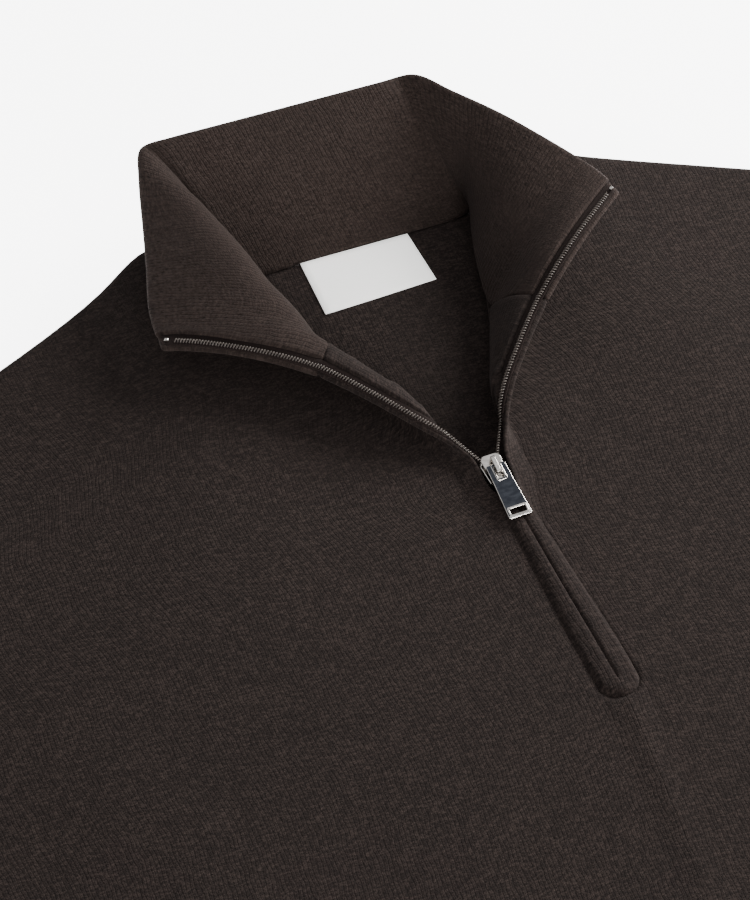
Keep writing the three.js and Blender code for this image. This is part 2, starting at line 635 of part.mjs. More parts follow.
const tabFrame = new THREE.Group();
tabFrame.position.set(0, tab.pivotUp, slider.mouth / 2 + slider.plate + tab.pivotOver);
tabFrame.rotation.x = (tab.tilt - slider.tilt) * degrees;
sliderFrame.add(tabFrame);
const tabMesh = new THREE.Mesh(tabShape(), gunmetal);
tabMesh.name = 'pull_tab';
tabFrame.add(tabMesh);

// The origin is on the surface, under the middle of the whole garment.
garment.updateMatrixWorld(true);
const box = new THREE.Box3().setFromObject(garment, true);
garment.position.set(-(box.min.x + box.max.x) / 2, -(box.min.y + box.max.y) / 2, -box.min.z);

export default garment;
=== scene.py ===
# A quarter zip sweater in fine dark brown melange knit, laid flat on its back, its zip half
# open and its doubled collar spread. Metres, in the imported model's frame: +X to the wearer's
# left, +Y to the neck, +Z up. Tables of the cut are in millimetres from the back neck seam.
import math

import bpy
import numpy as np
from mathutils import Matrix, Vector


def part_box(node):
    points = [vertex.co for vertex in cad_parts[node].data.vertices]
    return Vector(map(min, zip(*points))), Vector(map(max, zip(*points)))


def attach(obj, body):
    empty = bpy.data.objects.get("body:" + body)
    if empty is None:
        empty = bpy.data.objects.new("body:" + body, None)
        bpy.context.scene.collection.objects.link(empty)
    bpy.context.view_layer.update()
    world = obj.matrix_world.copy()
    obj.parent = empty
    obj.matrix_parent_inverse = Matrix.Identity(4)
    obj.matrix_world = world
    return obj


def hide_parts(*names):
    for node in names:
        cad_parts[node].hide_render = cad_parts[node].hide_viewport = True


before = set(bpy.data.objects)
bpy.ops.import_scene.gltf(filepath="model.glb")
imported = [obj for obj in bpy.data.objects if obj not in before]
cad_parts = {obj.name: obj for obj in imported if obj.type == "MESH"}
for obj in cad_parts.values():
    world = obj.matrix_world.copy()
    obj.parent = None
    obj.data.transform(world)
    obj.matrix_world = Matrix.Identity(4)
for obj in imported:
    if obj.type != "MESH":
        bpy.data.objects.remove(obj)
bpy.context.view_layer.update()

# Camera, light and floor: a pale floor and broad soft lights, the main one from beyond the
# collar on the right, so that each wing of the collar shades the cloth on its left.
camera_at = Vector((-0.4196, -0.8420, 1.3310))
camera_aim = Vector((-0.0144, 0.2419, -0.0478))
camera_data = bpy.data.cameras.new("camera")
camera_data.sensor_fit = "VERTICAL"
camera_data.sensor_height = 36
camera_data.lens = 167.4


def linked(name, data):
    """A new object in the scene, made of that data."""
    thing = bpy.data.objects.new(name, data)
    bpy.context.collection.objects.link(thing)
    return thing


def aimed(name, data, at, aim):
    """A camera or light that looks from one place to another."""
    thing = linked(name, data)
    thing.location = at
    thing.rotation_euler = (Vector(aim) - Vector(at)).to_track_quat("-Z", "Y").to_euler()
    return thing


bpy.context.scene.camera = aimed("camera", camera_data, camera_at, camera_aim)


def soft_light(name, at, aim, size, power, colour):
    """A square area light that points from one place to another."""
    data = bpy.data.lights.new(name, "AREA")
    data.shape = "SQUARE"
    data.size = size
    data.energy = power
    data.color = colour
    aimed(name, data, at, aim)


soft_light("main_light", (1.35, 0.6, 0.72), (0, 0.15, 0), 0.8, 62, (1.0, 0.975, 0.94))
soft_light("fill_light", (0.25, -1.9, 0.5), (0, 0.25, 0), 0.9, 62, (1.0, 0.975, 0.94))
world = bpy.data.worlds.new("studio")
world.use_nodes = True
sky = world.node_tree
sky.nodes["Background"].inputs["Strength"].default_value = 1.05
sky_way = sky.nodes.new("ShaderNodeTexCoord")
sky_parts = sky.nodes.new("ShaderNodeSeparateXYZ")
sky.links.new(sky_way.outputs["Generated"], sky_parts.inputs[0])
sky_height = sky.nodes.new("ShaderNodeMapRange")
sky_height.inputs["To Min"].default_value = 0.25
sky.links.new(sky_parts.outputs["Z"], sky_height.inputs["Value"])
sky.links.new(sky_height.outputs["Result"], sky.nodes["Background"].inputs["Color"])
bpy.context.scene.world = world


def new_material(name):
    """A material, with its node tree and its shader."""
    material = bpy.data.materials.new(name)
    material.use_nodes = True
    return material, material.node_tree, material.node_tree.nodes["Principled BSDF"]


def feed(tree, node, values):
    """Sets a node's inputs from numbers, colours or other nodes' outputs; returns the node."""
    for label, value in values.items():
        socket = node.inputs[label]
        if isinstance(value, tuple):
            socket.default_value = (*value, 1)
        elif isinstance(value, (int, float)):
            socket.default_value = value
        elif value is not None:
            tree.links.new(value, socket)
    return node


def mesh_object(name, points, faces, materials, smooth=True):
    """A new object of those points and faces."""
    mesh = bpy.data.meshes.new(name)
    mesh.from_pydata(points, [], faces)
    mesh.polygons.foreach_set("use_smooth", [smooth] * len(faces))
    for material in materials:
        mesh.materials.append(material)
    return linked(name, mesh)


floor_paint, floor_tree, floor_shader = new_material("pale_floor")
feed(floor_tree, floor_shader, {"Base Color": (0.90, 0.90, 0.90), "Roughness": 0.9,
                                "Emission Color": (1, 1, 1), "Emission Strength": 6.0})
floor_half = 4.0
floor_corners = [(x * floor_half, y * floor_half, 0) for x, y in ((-1, -1), (1, -1), (1, 1), (-1, 1))]
floor = mesh_object("floor", floor_corners, [(0, 1, 2, 3)], [floor_paint], smooth=False)

# The knit, on every cloth piece: plain stitches in upright wales, from a yarn that is spun
# of dark, middle and pale fibres, so that short streaks run along the rows of stitches.
mm = 0.001
wale = 1.75 * mm
course = 1.3 * mm
ground_brown = (0.0064, 0.0040, 0.0035)
pale_fibre = (0.041, 0.0293, 0.0254)
dark_fibre = (0.0022, 0.0013, 0.0011)


def new_group(name, inputs, outputs):
    """An empty shader node group with named inputs and outputs."""
    tree = bpy.data.node_groups.new(name, "ShaderNodeTree")
    for label, kind in inputs:
        tree.interface.new_socket(name=label, in_out="INPUT", socket_type=kind)
    for label, kind in outputs:
        tree.interface.new_socket(name=label, in_out="OUTPUT", socket_type=kind)
    return tree, tree.nodes.new("NodeGroupInput"), tree.nodes.new("NodeGroupOutput")


def math_node(tree, operation, first, second=None, third=None):
    """A Math node fed by sockets or numbers; returns its output."""
    node = tree.nodes.new("ShaderNodeMath")
    node.operation = operation
    return feed(tree, node, {0: first, 1: second, 2: third}).outputs[0]


def stretched(tree, cloth, across, along, high=0.0):
    """Cloth coordinates divided by a grain's size, for a noise that is longer one way."""
    node = tree.nodes.new("ShaderNodeVectorMath")
    node.operation = "MULTIPLY_ADD"
    tree.links.new(cloth, node.inputs[0])
    node.inputs[1].default_value = (1 / across, 1 / along, 1)
    node.inputs[2].default_value = (high, 2 * high, high)
    return node.outputs[0]


def grain(tree, cloth, across, along, low, high, seed, detail=2.0):
    """A noise of that grain size, spread so that low gives 0 and high gives 1."""
    noise = tree.nodes.new("ShaderNodeTexNoise")
    place = stretched(tree, cloth, across, along, seed)
    feed(tree, noise, {"Scale": 1, "Detail": detail, "Vector": place})
    spread = tree.nodes.new("ShaderNodeMapRange")
    spread.interpolation_type = "SMOOTHSTEP"
    feed(tree, spread, {"From Min": low, "From Max": high, "Value": noise.outputs["Fac"]})
    return spread.outputs["Result"]


def tint(tree, share, under, over, way="MIX"):
    """The colour under, turning to the colour over by a share."""
    node = tree.nodes.new("ShaderNodeMix")
    node.data_type = "RGBA"
    node.blend_type = way
    return feed(tree, node, {"Factor": share, 6: under, 7: over}).outputs[2]


def shaded(tree, colour, shade):
    """A colour multiplied by a grey shade."""
    return tint(tree, 1, colour, shade, "MULTIPLY")


def stitch_group():
    """Plain knit: wales of V stitches that wander a little. Puts out their relief, 0 to 1."""
    tree, given, result = new_group(
        "plain stitches",
        [("Cloth", "NodeSocketVector"), ("Wale", "NodeSocketFloat"), ("Course", "NodeSocketFloat")],
        [("Relief", "NodeSocketFloat")],
    )
    apart = tree.nodes.new("ShaderNodeSeparateXYZ")
    tree.links.new(given.outputs["Cloth"], apart.inputs[0])
    aside = grain(tree, given.outputs["Cloth"], 7 * mm, 9 * mm, 0.1, 0.9, 12.3, 3.0)
    uneven = grain(tree, given.outputs["Cloth"], 5 * mm, 2.6 * mm, 0.1, 0.9, 31.9, 3.0)
    column = math_node(tree, "DIVIDE", apart.outputs["X"], given.outputs["Wale"])
    column = math_node(tree, "MULTIPLY_ADD", aside, 0.9, column)
    row = math_node(tree, "DIVIDE", apart.outputs["Y"], given.outputs["Course"])
    row = math_node(tree, "MULTIPLY_ADD", uneven, 0.6, row)
    from_middle = math_node(tree, "PINGPONG", column, 0.5)
    leg = math_node(tree, "SUBTRACT", from_middle, 0.2)
    leg = math_node(tree, "ABSOLUTE", leg)
    leg = math_node(tree, "MULTIPLY_ADD", leg, -1.6, 1.0)
    between = math_node(tree, "MULTIPLY", from_middle, 2.0)
    between = math_node(tree, "POWER", between, 3.0)
    leg = math_node(tree, "MULTIPLY", leg, math_node(tree, "SUBTRACT", 1.0, between))
    slant = math_node(tree, "MULTIPLY_ADD", from_middle, 1.5, row)
    turn = math_node(tree, "MULTIPLY", slant, 2 * math.pi)
    wave = math_node(tree, "COSINE", turn)
    loop = math_node(tree, "MULTIPLY_ADD", wave, 0.13, 0.87)
    tree.links.new(math_node(tree, "MULTIPLY", leg, loop), result.inputs["Relief"])
    return tree


def yarn_group():
    """Melange yarn: streaks of pale and dark fibre along the courses, and single flecks."""
    tree, given, result = new_group(
        "melange yarn",
        [("Cloth", "NodeSocketVector"), ("Ground", "NodeSocketColor"), ("Pale", "NodeSocketColor"),
         ("Dark", "NodeSocketColor")],
        [("Color", "NodeSocketColor")],
    )
    cloth = given.outputs["Cloth"]
    dark_share = grain(tree, cloth, 1.9 * mm, 0.8 * mm, 0.42, 0.66, 3.1, 4.0)
    pale_share = grain(tree, cloth, 2.6 * mm, 0.9 * mm, 0.44, 0.70, 8.4, 4.0)
    flecks = grain(tree, cloth, 0.8 * mm, 0.6 * mm, 0.48, 0.72, 21.7, 3.0)
    cloudy = grain(tree, cloth, 34 * mm, 26 * mm, 0.2, 0.8, 5.5)
    colour = tint(tree, math_node(tree, "MULTIPLY", dark_share, 0.62), given.outputs["Ground"],
                  given.outputs["Dark"])
    colour = tint(tree, math_node(tree, "MULTIPLY", pale_share, 0.40), colour, given.outputs["Pale"])
    colour = tint(tree, math_node(tree, "MULTIPLY", flecks, 0.46), colour, given.outputs["Pale"])
    cloud = tint(tree, cloudy, (0.92, 0.92, 0.92), (1.06, 1.06, 1.06))
    tree.links.new(shaded(tree, colour, cloud), result.inputs["Color"])
    return tree


stitches = stitch_group()
melange = yarn_group()


def cloth_way(tree):
    """The coordinates along the knit, which each cloth mesh brings."""
    node = tree.nodes.new("ShaderNodeUVMap")
    node.uv_map = "cloth"
    return node.outputs["UV"]


def object_way(tree):
    """The coordinates in the piece's own frame."""
    return tree.nodes.new("ShaderNodeTexCoord").outputs["Object"]


def bumped(tree, shader, height, distance, strength=1.0):
    """Gives a shader the relief of a height, up to a distance."""
    bump = tree.nodes.new("ShaderNodeBump")
    feed(tree, bump, {"Strength": strength, "Distance": distance, "Height": height})
    tree.links.new(bump.outputs["Normal"], shader.inputs["Normal"])


def placed_group(tree, group, values):
    """A group in a material, with its inputs set from numbers, colours or sockets."""
    node = tree.nodes.new("ShaderNodeGroup")
    node.node_tree = group
    return feed(tree, node, values)


def knit_material(name, wale_width, stitch_depth, ground, hollow_shade=0.76):
    """Knitted wool: the yarn's colour with painted shade in the stitches' hollows and a painted highlight
    on their crowns, with a fibrous nap.
    """
    material, tree, shader = new_material(name)
    cloth = cloth_way(tree)
    knit = placed_group(tree, stitches, {"Cloth": cloth, "Wale": wale_width, "Course": course})
    yarn = placed_group(tree, melange, {"Cloth": cloth, "Ground": ground, "Pale": pale_fibre,
                                        "Dark": dark_fibre})
    # Painted shade in the stitches' hollows and a painted highlight on their crowns, from the stitches'
    # relief.
    painted_stitch_shading = tint(tree, knit.outputs["Relief"], (hollow_shade, hollow_shade, hollow_shade), (1.10, 1.10, 1.10))
    fuzz = grain(tree, cloth, 1.0 * mm, 0.7 * mm, 0.2, 0.8, 40.2, 4.0)
    height = math_node(tree, "MULTIPLY_ADD", fuzz, 0.9, knit.outputs["Relief"])
    bumped(tree, shader, height, stitch_depth, 0.8)
    feed(tree, shader, {"Base Color": shaded(tree, yarn.outputs["Color"], painted_stitch_shading),
                        "Roughness": 0.92, "Specular IOR Level": 0.12, "Sheen Weight": 0.07,
                        "Sheen Roughness": 0.55, "Sheen Tint": (0.62, 0.50, 0.48)})
    return material


body_knit = knit_material("melange_knit", wale, 0.20 * mm, ground_brown)

# The back: one panel that lies on the floor, from the hem's seam up to the neck, where its
# top rises a little under the collar. Cut to shape and linked to the front at the shoulders.
hem_top = -606
hem_height = 60
seam_gap = 0.3
neck_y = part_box("hem_rib")[0].y + (hem_height + seam_gap - hem_top) * mm
floor_row = 0.7
top_row = 2.5
bend_from = 3
bend_power = 1.6
side_rows = [[268, hem_top], [272, -470], [275, -345], [275, -276], [268, -250], [258, -224],
             [248, -196], [241, -166], [236.5, -136], [234, -106], [233.5, -76], [236, -40]]
back_middle = [[hem_top, floor_row], [-470, floor_row], [-345, floor_row], [-272, floor_row],
               [-235, floor_row], [-195, floor_row], [-160, 0.8], [-128, 1.2], [-95, 1.9],
               [-65, 2.9], [-32, 4.9], [0, 7.6]]
shoulder_line = {
    1: [[43.5, -55, 9.6], [47, -30, 9.2], [57, 3, 9.4], [76, 18, 11.5], [94, 22.5, 11],
        [114, 14.5, 8.4], [172, -10, 4.4], [236, -40, top_row]],
    -1: [[-36, -52, 9.6], [-44, -28, 9.2], [-54, 0, 9.4], [-72, 21, 13], [-87, 24.5, 13.5],
         [-112, 10.5, 8.4], [-168, -14, 4.4], [-236, -40, top_row]],
}
back_neck = {1: [48, 0.5, 7.6], 0: [0, 0, 7.6], -1: [-46, -1.5, 7.6]}
last_row = len(side_rows) - 1
neck_share = 2 / 7
half_wall = 0.7
rim_bulge = 0.45


def smooth_line(points):
    """The centripetal curve through a table's points, for places from 0 to 1."""
    p = np.array(points, float)
    p = np.vstack([2 * p[0] - p[1], p, 2 * p[-1] - p[-2]])
    step = np.sum(np.diff(p, axis=0) ** 2, axis=1) ** 0.25

    def at(place):
        t = np.clip(np.asarray(place, float), 0, 1) * (len(p) - 3)
        i = np.minimum(t.astype(int), len(p) - 4)
        w = (t - i)[..., None]
        p0, p1, p2, p3 = (p[i + k] for k in range(4))
        d0, d1, d2 = (step[i + k][..., None] for k in range(3))
        d1 = np.where(d1 < 1e-4, 1, d1)
        d0, d2 = (np.where(d < 1e-4, d1, d) for d in (d0, d2))
        start = ((p1 - p0) / d0 - (p2 - p0) / (d0 + d1) + (p2 - p1) / d1) * d1
        end = ((p2 - p1) / d1 - (p3 - p1) / (d1 + d2) + (p3 - p2) / d2) * d1
        return (p1 + start * w + (3 * (p2 - p1) - 2 * start - end) * w**2
                + (2 * (p1 - p2) + start + end) * w**3)

    return at


def mixed(a, b, share):
    """From a to b by a share."""
    return a + (b - a) * np.asarray(share)[..., None]


def unit(way):
    """Each way, made one long."""
    return way / np.maximum(np.linalg.norm(way, axis=-1, keepdims=True), 1e-12)


def way_along(points):
    """How far along its row of points each point lies."""
    steps = np.linalg.norm(np.diff(points, axis=-2), axis=-1)
    return np.concatenate([np.zeros_like(steps[..., :1]), np.cumsum(steps, axis=-1)], axis=-1)


def ramp(value, low, high):
    """0 below low, 1 above high, smooth between."""
    t = np.clip((np.asarray(value, float) - low) / (high - low), 0, 1)
    return t * t * (3 - 2 * t)


def cloth_sheet(points, cloth, below=half_wall, above=half_wall, flip=False):
    """One grid of places on a cloth, with its coordinates along the knit and its two depths."""
    rows, columns = points.shape[:2]
    index = np.arange(rows * columns).reshape(rows, columns)
    quads = np.stack([index[:-1, :-1], index[:-1, 1:], index[1:, 1:], index[1:, :-1]], axis=-1)
    quads = quads.reshape(-1, 4)
    if flip:
        quads = quads[:, ::-1]
    depths = [np.broadcast_to(d, (rows, columns)).reshape(-1) for d in (below, above)]
    return points.reshape(-1, 3), cloth.reshape(-1, 2), depths, quads


def sheet_normals(points, quads):
    """The upper side's direction at each point."""
    corners = points[quads]
    face = np.cross(corners[:, 2] - corners[:, 0], corners[:, 3] - corners[:, 1])
    sums = np.zeros_like(points)
    for k in range(4):
        np.add.at(sums, quads[:, k], face)
    return unit(sums)


def thick_cloth(name, sheets, material, smooth=1):
    """Joins sheets where their points meet, and gives them two sides and round edges."""
    starts = np.cumsum([0] + [len(s[0]) for s in sheets])
    points = np.concatenate([s[0] for s in sheets])
    cloth = np.concatenate([s[1] for s in sheets])
    below = np.concatenate([s[2][0] for s in sheets])
    above = np.concatenate([s[2][1] for s in sheets])
    loose = np.concatenate([s[3] + start for s, start in zip(sheets, starts)])
    _, first, index = np.unique(np.round(points, 3), axis=0, return_index=True, return_inverse=True)
    quads = index.reshape(-1)[loose]
    whole = [len(set(q)) == 4 for q in quads.tolist()]
    quads, loose = quads[whole], loose[whole]
    points, below, above = points[first], below[first], above[first]
    normals = sheet_normals(points, quads)
    count = len(points)
    lower = points - normals * below[:, None]
    upper = points + normals * above[:, None]
    faces = []
    corners = []
    sides = {}
    for quad, marks in zip(quads.tolist(), cloth[loose].tolist()):
        faces.append([i + count for i in quad])
        corners.extend(marks)
        faces.append(quad[::-1])
        corners.extend(marks[::-1])
        for k in range(4):
            sides[quad[k], quad[(k + 1) % 4]] = (marks[k], marks[(k + 1) % 4])
    open_sides = {pair: marks for pair, marks in sides.items() if pair[::-1] not in sides}
    outward = np.zeros_like(points)
    for a, b in open_sides:
        outward[[a, b]] += unit(np.cross(points[b] - points[a], normals[a] + normals[b]))
    rim_of = {}
    rims = []
    for a, b in open_sides:
        for i in (a, b):
            if i not in rim_of:
                rim_of[i] = 2 * count + len(rims)
                bulge = rim_bulge * (below[i] + above[i])
                rims.append((lower[i] + upper[i]) / 2 + unit(outward[i]) * bulge)
    for (a, b), (mark_a, mark_b) in open_sides.items():
        faces.append([a, b, rim_of[b], rim_of[a]])
        faces.append([rim_of[a], rim_of[b], b + count, a + count])
        corners.extend([mark_a, mark_b, mark_b, mark_a] * 2)
    everything = np.concatenate([lower, upper, np.array(rims).reshape(-1, 3)]) * mm
    everything[:, 1] += neck_y
    piece = mesh_object(name, everything.tolist(), faces, [material])
    marks = (np.array(corners) * mm).reshape(-1)
    piece.data.uv_layers.new(name="cloth").data.foreach_set("uv", marks)
    if smooth:
        rounding = piece.modifiers.new("rounding", "SUBSURF")
        rounding.levels = smooth
        rounding.render_levels = smooth
    return piece


def dressed(piece, node, body="garment"):
    """Puts a piece in a solid's place: hides the solid, and makes the piece ride its body."""
    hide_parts(node)
    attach(piece, body)


def soft_folds(points, folds):
    """How far a table of soft folds lifts or sinks the cloth at each point."""
    lift = np.zeros(points.shape[:-1])
    for fold in folds:
        start, end = np.array(fold["start"]), np.array(fold["end"])
        way = end - start
        from_start = points[..., :2] - start
        share = from_start @ way / (way @ way)
        off = np.abs(from_start[..., 0] * way[1] - from_start[..., 1] * way[0]) / np.linalg.norm(way)
        fade = ramp(share, -0.15, 0.35) * ramp(-share, -1.15, -0.65)
        lift += fold["height"] * np.exp(-((off / fold["width"]) ** 2)) * fade
    return lift


side_line = smooth_line(side_rows)
shoulder = {side: smooth_line(points) for side, points in shoulder_line.items()}
back_centre = smooth_line([[0, y, z] for y, z in back_middle])


def side_of(side, v, height):
    """A point of the side seam or armhole at a row."""
    p = side_line(v)
    return np.stack([side * p[..., 0], p[..., 1], np.full(p.shape[:-1], float(height))], axis=-1)


def bend(v):
    """How much of the shoulder line's shape a row takes up."""
    return np.clip((np.asarray(v) * last_row - bend_from) / (last_row - bend_from), 0, 1) ** bend_power


def back_top(side, u):
    """The back's upper edge: the neck seam, then the shoulder line one layer lower."""
    low = np.array([0, 0, top_row - floor_row])
    corner = np.array(shoulder_line[side][2]) - low
    neck = smooth_line([back_neck[0], back_neck[side], corner])(u / neck_share)
    return np.where((u > neck_share)[..., None], shoulder[side](u) - low, neck)


def back_place(side, u, v):
    """A point of the back: u from the middle to the side, v from the hem to the shoulder."""
    straight = mixed(back_centre(v), side_of(side, v, floor_row), u)
    one = np.ones_like(v)
    corner_line = mixed(back_centre(one), side_of(side, one, floor_row), u)
    shift = back_top(side, u) - corner_line
    share = bend(v)[..., None]
    return straight + shift * np.concatenate([share, share, share**2], axis=-1)


def row_stops(steps):
    """Places from 0 to 1 with a number of steps in each interval of the row table."""
    stops = [(i + k / n) / last_row for i, n in enumerate(steps) for k in range(n)]
    return np.array(stops + [1.0])


back_folds = [
    {"start": [-150, -560], "end": [40, -520], "width": 26, "height": 1.2},
    {"start": [60, -440], "end": [210, -360], "width": 22, "height": 1.0},
    {"start": [-220, -330], "end": [-120, -240], "width": 18, "height": 1.1},
]
panel_stops = np.array([0, 0.004, 0.008, 0.013, 0.02, 0.03, 0.043, 0.06, 0.08, 0.105, 0.135, 0.17,
                        0.205, 0.245, neck_share, 0.32, 0.36, 0.4, 0.44, 0.48, 0.53, 0.58, 0.64,
                        0.7, 0.76, 0.82, 0.88, 0.94, 1])
back_rows = row_stops([10, 9, 6, 4, 4, 4, 4, 5, 6, 7, 8])
back_sheets = []
for side in (1, -1):
    u, v = np.meshgrid(panel_stops, back_rows)
    points = back_place(side, u, v)
    points[..., 2] += np.maximum(soft_folds(points, back_folds), 0) * (1 - bend(v))
    back_sheets.append(cloth_sheet(points, points[..., :2], flip=side < 0))
back_panel = thick_cloth("back_panel", back_sheets, body_knit)
dressed(back_panel, "back_body")

# The front: a panel with a slit for the zip. Its two edges are turned out above the slider,
# so each half folds back along a soft roll, and a turned-in layer starts behind the tape.
front_rows = {
    1: [
        {"edge": [0, hem_top, top_row], "fold": [9, hem_top, top_row]},
        {"edge": [6, -470, 4.2], "fold": [15, -470, 4.0]},
        {"edge": [13, -340, 5.4], "fold": [22, -340, 4.9]},
        {"edge": [18.2, -252, 6.4], "fold": [27.2, -252, 5.2]},
        {"edge": [16.7, -220, 6.8], "fold": [25.4, -220, 5.4]},
        {"edge": [14.8, -185, 7.2], "fold": [23.4, -185, 5.6]},
        {"edge": [13.6, -160, 8.0], "fold": [22, -160, 5.8]},
        {"edge": [17.0, -146, 9.4], "fold": [26, -144, 6.0]},
        {"edge": [18.6, -130, 12.0], "fold": [26, -128, 6.6]},
        {"edge": [30, -108, 20], "roll": [25, -104, 19], "fold": [24.6, -103, 7.6]},
        {"edge": [45.5, -89.5, 27.5], "roll": [36, -84, 26], "fold": [32.5, -81, 8.4]},
        {"edge": [57.5, -76.5, 31.5], "roll": [47, -63, 27], "fold": [43.5, -55, 9.6]},
    ],
    -1: [
        {"edge": [0, hem_top, top_row], "fold": [-9, hem_top, top_row]},
        {"edge": [6, -470, 4.2], "fold": [-3, -470, 4.0]},
        {"edge": [13, -340, 5.4], "fold": [4, -340, 4.9]},
        {"edge": [18.2, -252, 6.4], "fold": [9, -252, 5.2]},
        {"edge": [15.9, -220, 6.8], "fold": [7.2, -220, 5.4]},
        {"edge": [14.0, -185, 7.2], "fold": [5.4, -185, 5.6]},
        {"edge": [12.8, -160, 8.0], "fold": [4, -160, 5.8]},
        {"edge": [5.4, -146, 9.4], "fold": [-3.6, -143, 6.0]},
        {"edge": [3.4, -130, 12.0], "fold": [-4.6, -126, 6.6]},
        {"edge": [-14, -110, 18.5], "roll": [-9, -92, 24], "fold": [-12.5, -99, 7.6]},
        {"edge": [-30, -91, 22.5], "roll": [-23.5, -72, 31], "fold": [-25.5, -74, 8.4]},
        {"edge": [-43, -77, 25], "roll": [-30, -64, 33], "fold": [-36, -52, 9.6]},
    ],
}
slit_row = 3
facing_from = 6.4
facing_full = 7.2
facing_depth = 1.6
roll_reach = 12
roll_rows = [7.6, 9.2, 10.1, 11]
open_rows = [7.5, 9.5]
rim_extra = 1.1
strip_edge = np.array([0, 0.6, 1.3, 2.2, 3.2, 4.4, 5.6, 6.3, 6.5, 6.9, 7.4, 8.2])
strip_rest = np.array([0.15, 0.35, 0.55, 0.75, 0.9, 1.0])
front_folds = [
    {"start": [-150, -330], "end": [-205, -180], "width": 20, "height": 0.9},
    {"start": [-240, -268], "end": [-196, -236], "width": 7, "height": -0.7},
    {"start": [-120, -310], "end": [-90, -262], "width": 8, "height": -0.5},
    {"start": [60, -420], "end": [190, -330], "width": 24, "height": 1.4},
    {"start": [-190, -520], "end": [-30, -450], "width": 26, "height": 1.6},
    {"start": [120, -560], "end": [230, -490], "width": 20, "height": 1.2},
    {"start": [225, -250], "end": [150, -190], "width": 16, "height": 1.0},
]
edge_line = {side: smooth_line([row["edge"] for row in rows]) for side, rows in front_rows.items()}
fold_line = {side: smooth_line([row["fold"] for row in rows]) for side, rows in front_rows.items()}


def roll_point(row):
    """The point that a row's turned-out edge bends round: half-way where it lies flat."""
    return row.get("roll", (np.array(row["edge"]) + np.array(row["fold"])) / 2)


roll_line = {side: smooth_line([roll_point(row) for row in rows]) for side, rows in front_rows.items()}
strip_steps = 24


def strip_bow(side, v):
    """Places down the turned-out strip at a row, from the zip edge to the fold, and their way."""
    s = np.linspace(0, 1, strip_steps + 1)[:, None]
    edge, roll, fold = (line[side](v)[..., None, :] for line in (edge_line, roll_line, fold_line))
    places = edge * (1 - s) ** 2 + roll * 2 * s * (1 - s) + fold * s**2
    return places, way_along(places)


def strip_width(side, v):
    """The cloth between the zip edge and the fold at a row."""
    return strip_bow(side, v)[1][..., -1]


def strip_place(side, from_edge, v):
    """A point of the turned-out strip, in millimetres of cloth from the zip edge."""
    places, way = strip_bow(side, v)
    far = np.clip(from_edge, 0, way[..., -1])[..., None]
    step = np.minimum(np.sum(way[..., 1:] < far, axis=-1), strip_steps - 1)[..., None]
    start, end = np.take_along_axis(way, step, -1), np.take_along_axis(way, step + 1, -1)
    low = np.take_along_axis(places, step[..., None], -2)[..., 0, :]
    high = np.take_along_axis(places, step[..., None] + 1, -2)[..., 0, :]
    return mixed(low, high, ((far - start) / np.maximum(end - start, 1e-9))[..., 0])


def panel_place(side, u, v):
    """A point of the front beyond the fold: u to the side seam, v from hem to shoulder."""
    straight = mixed(fold_line[side](v), side_of(side, v, top_row), u)
    one = np.ones_like(v)
    corner_line = mixed(fold_line[side](one), side_of(side, one, top_row), u)
    return straight + (shoulder[side](u) - corner_line) * bend(v)[..., None]


def opened(v):
    """How far a row lies into the open part of the zip."""
    return ramp(np.asarray(v) * last_row, *open_rows)


def arch(from_zip):
    """The rows of stitches rise a little towards the zip."""
    return 11 * np.exp(-np.abs(from_zip) / 48)


def rolled(side, points, v):
    """The strip and the panel meet in a soft roll where the zip is open, not in a crease."""
    fold = fold_line[side](v)
    row = v * last_row
    in_roll = ramp(row, roll_rows[0], roll_rows[1]) * (1 - ramp(row, roll_rows[2], roll_rows[3]))
    reach = np.minimum(roll_reach, 0.8 * strip_width(side, v)) * in_roll
    reach = np.maximum(reach, 1e-3)[..., None]
    on_strip = roll_line[side](v) - fold
    on_panel = panel_place(side, np.full_like(v, 0.03), v) - fold
    start = fold + unit(on_strip) * reach
    end = fold + unit(on_panel) * reach
    off = np.linalg.norm(points - fold, axis=-1, keepdims=True)
    beyond = np.sum((points - fold) * (end - start), axis=-1, keepdims=True) > 0
    share = 0.5 + 0.5 * np.where(beyond, off, -off) / reach
    round_way = start * (1 - share) ** 2 + fold * 2 * share * (1 - share) + end * share**2
    return np.where(off < reach, round_way, points)


# The placket below the slider: a slit between two rounded edges, and a stitched line beside
# each strip. The lines spread a little on the way down and join in a round end.
slit_top = np.array([12.6, -150.0])
slit_foot = np.array([18.2, -252.0])
line_off = {"top": 5.6, "foot": 8.6}
strip_raised = 1.1
slit_deep = 2.6
slit_reach = 2.2
pucker_high = 0.12
pucker_turns = 62
placket_fade = [18, 26]


def placket_relief(points):
    """How the closed placket rises and sinks, by the distance from its slit."""
    way = slit_foot - slit_top
    from_top = points[..., :2] - slit_top
    share = from_top @ way / (way @ way)
    off = points[..., :2] - (slit_top + np.minimum(share, 1)[..., None] * way)
    far = np.linalg.norm(off, axis=-1)
    right = 1 - ramp(off[..., 0], -6, 6)
    line = line_off["top"] + (line_off["foot"] - line_off["top"]) * ramp(share, -0.1, 1)
    depth = (0.45 + 0.35 * right + 0.7 * ramp(share, 0.85, 1.03)) * ramp(share, -0.15, 0.25)
    stitched = -depth * np.exp(-(((far - line) / (0.8 + 0.8 * right)) ** 2))
    puckers = pucker_high * np.sin(share * pucker_turns) * np.exp(-(((far - line) / 2.2) ** 2))
    puckers *= ramp(share, 0, 0.2)
    raised = strip_raised * (1 - ramp(far, line - 2.2, line + 0.6))
    into_slit = 1 - np.minimum(far / slit_reach, 1)
    slit = -slit_deep * (1 - np.sqrt(1 - into_slit**2)) * (1 - ramp(share, 0.97, 1.03))
    return (stitched + puckers + raised + slit) * (1 - ramp(far, *placket_fade))


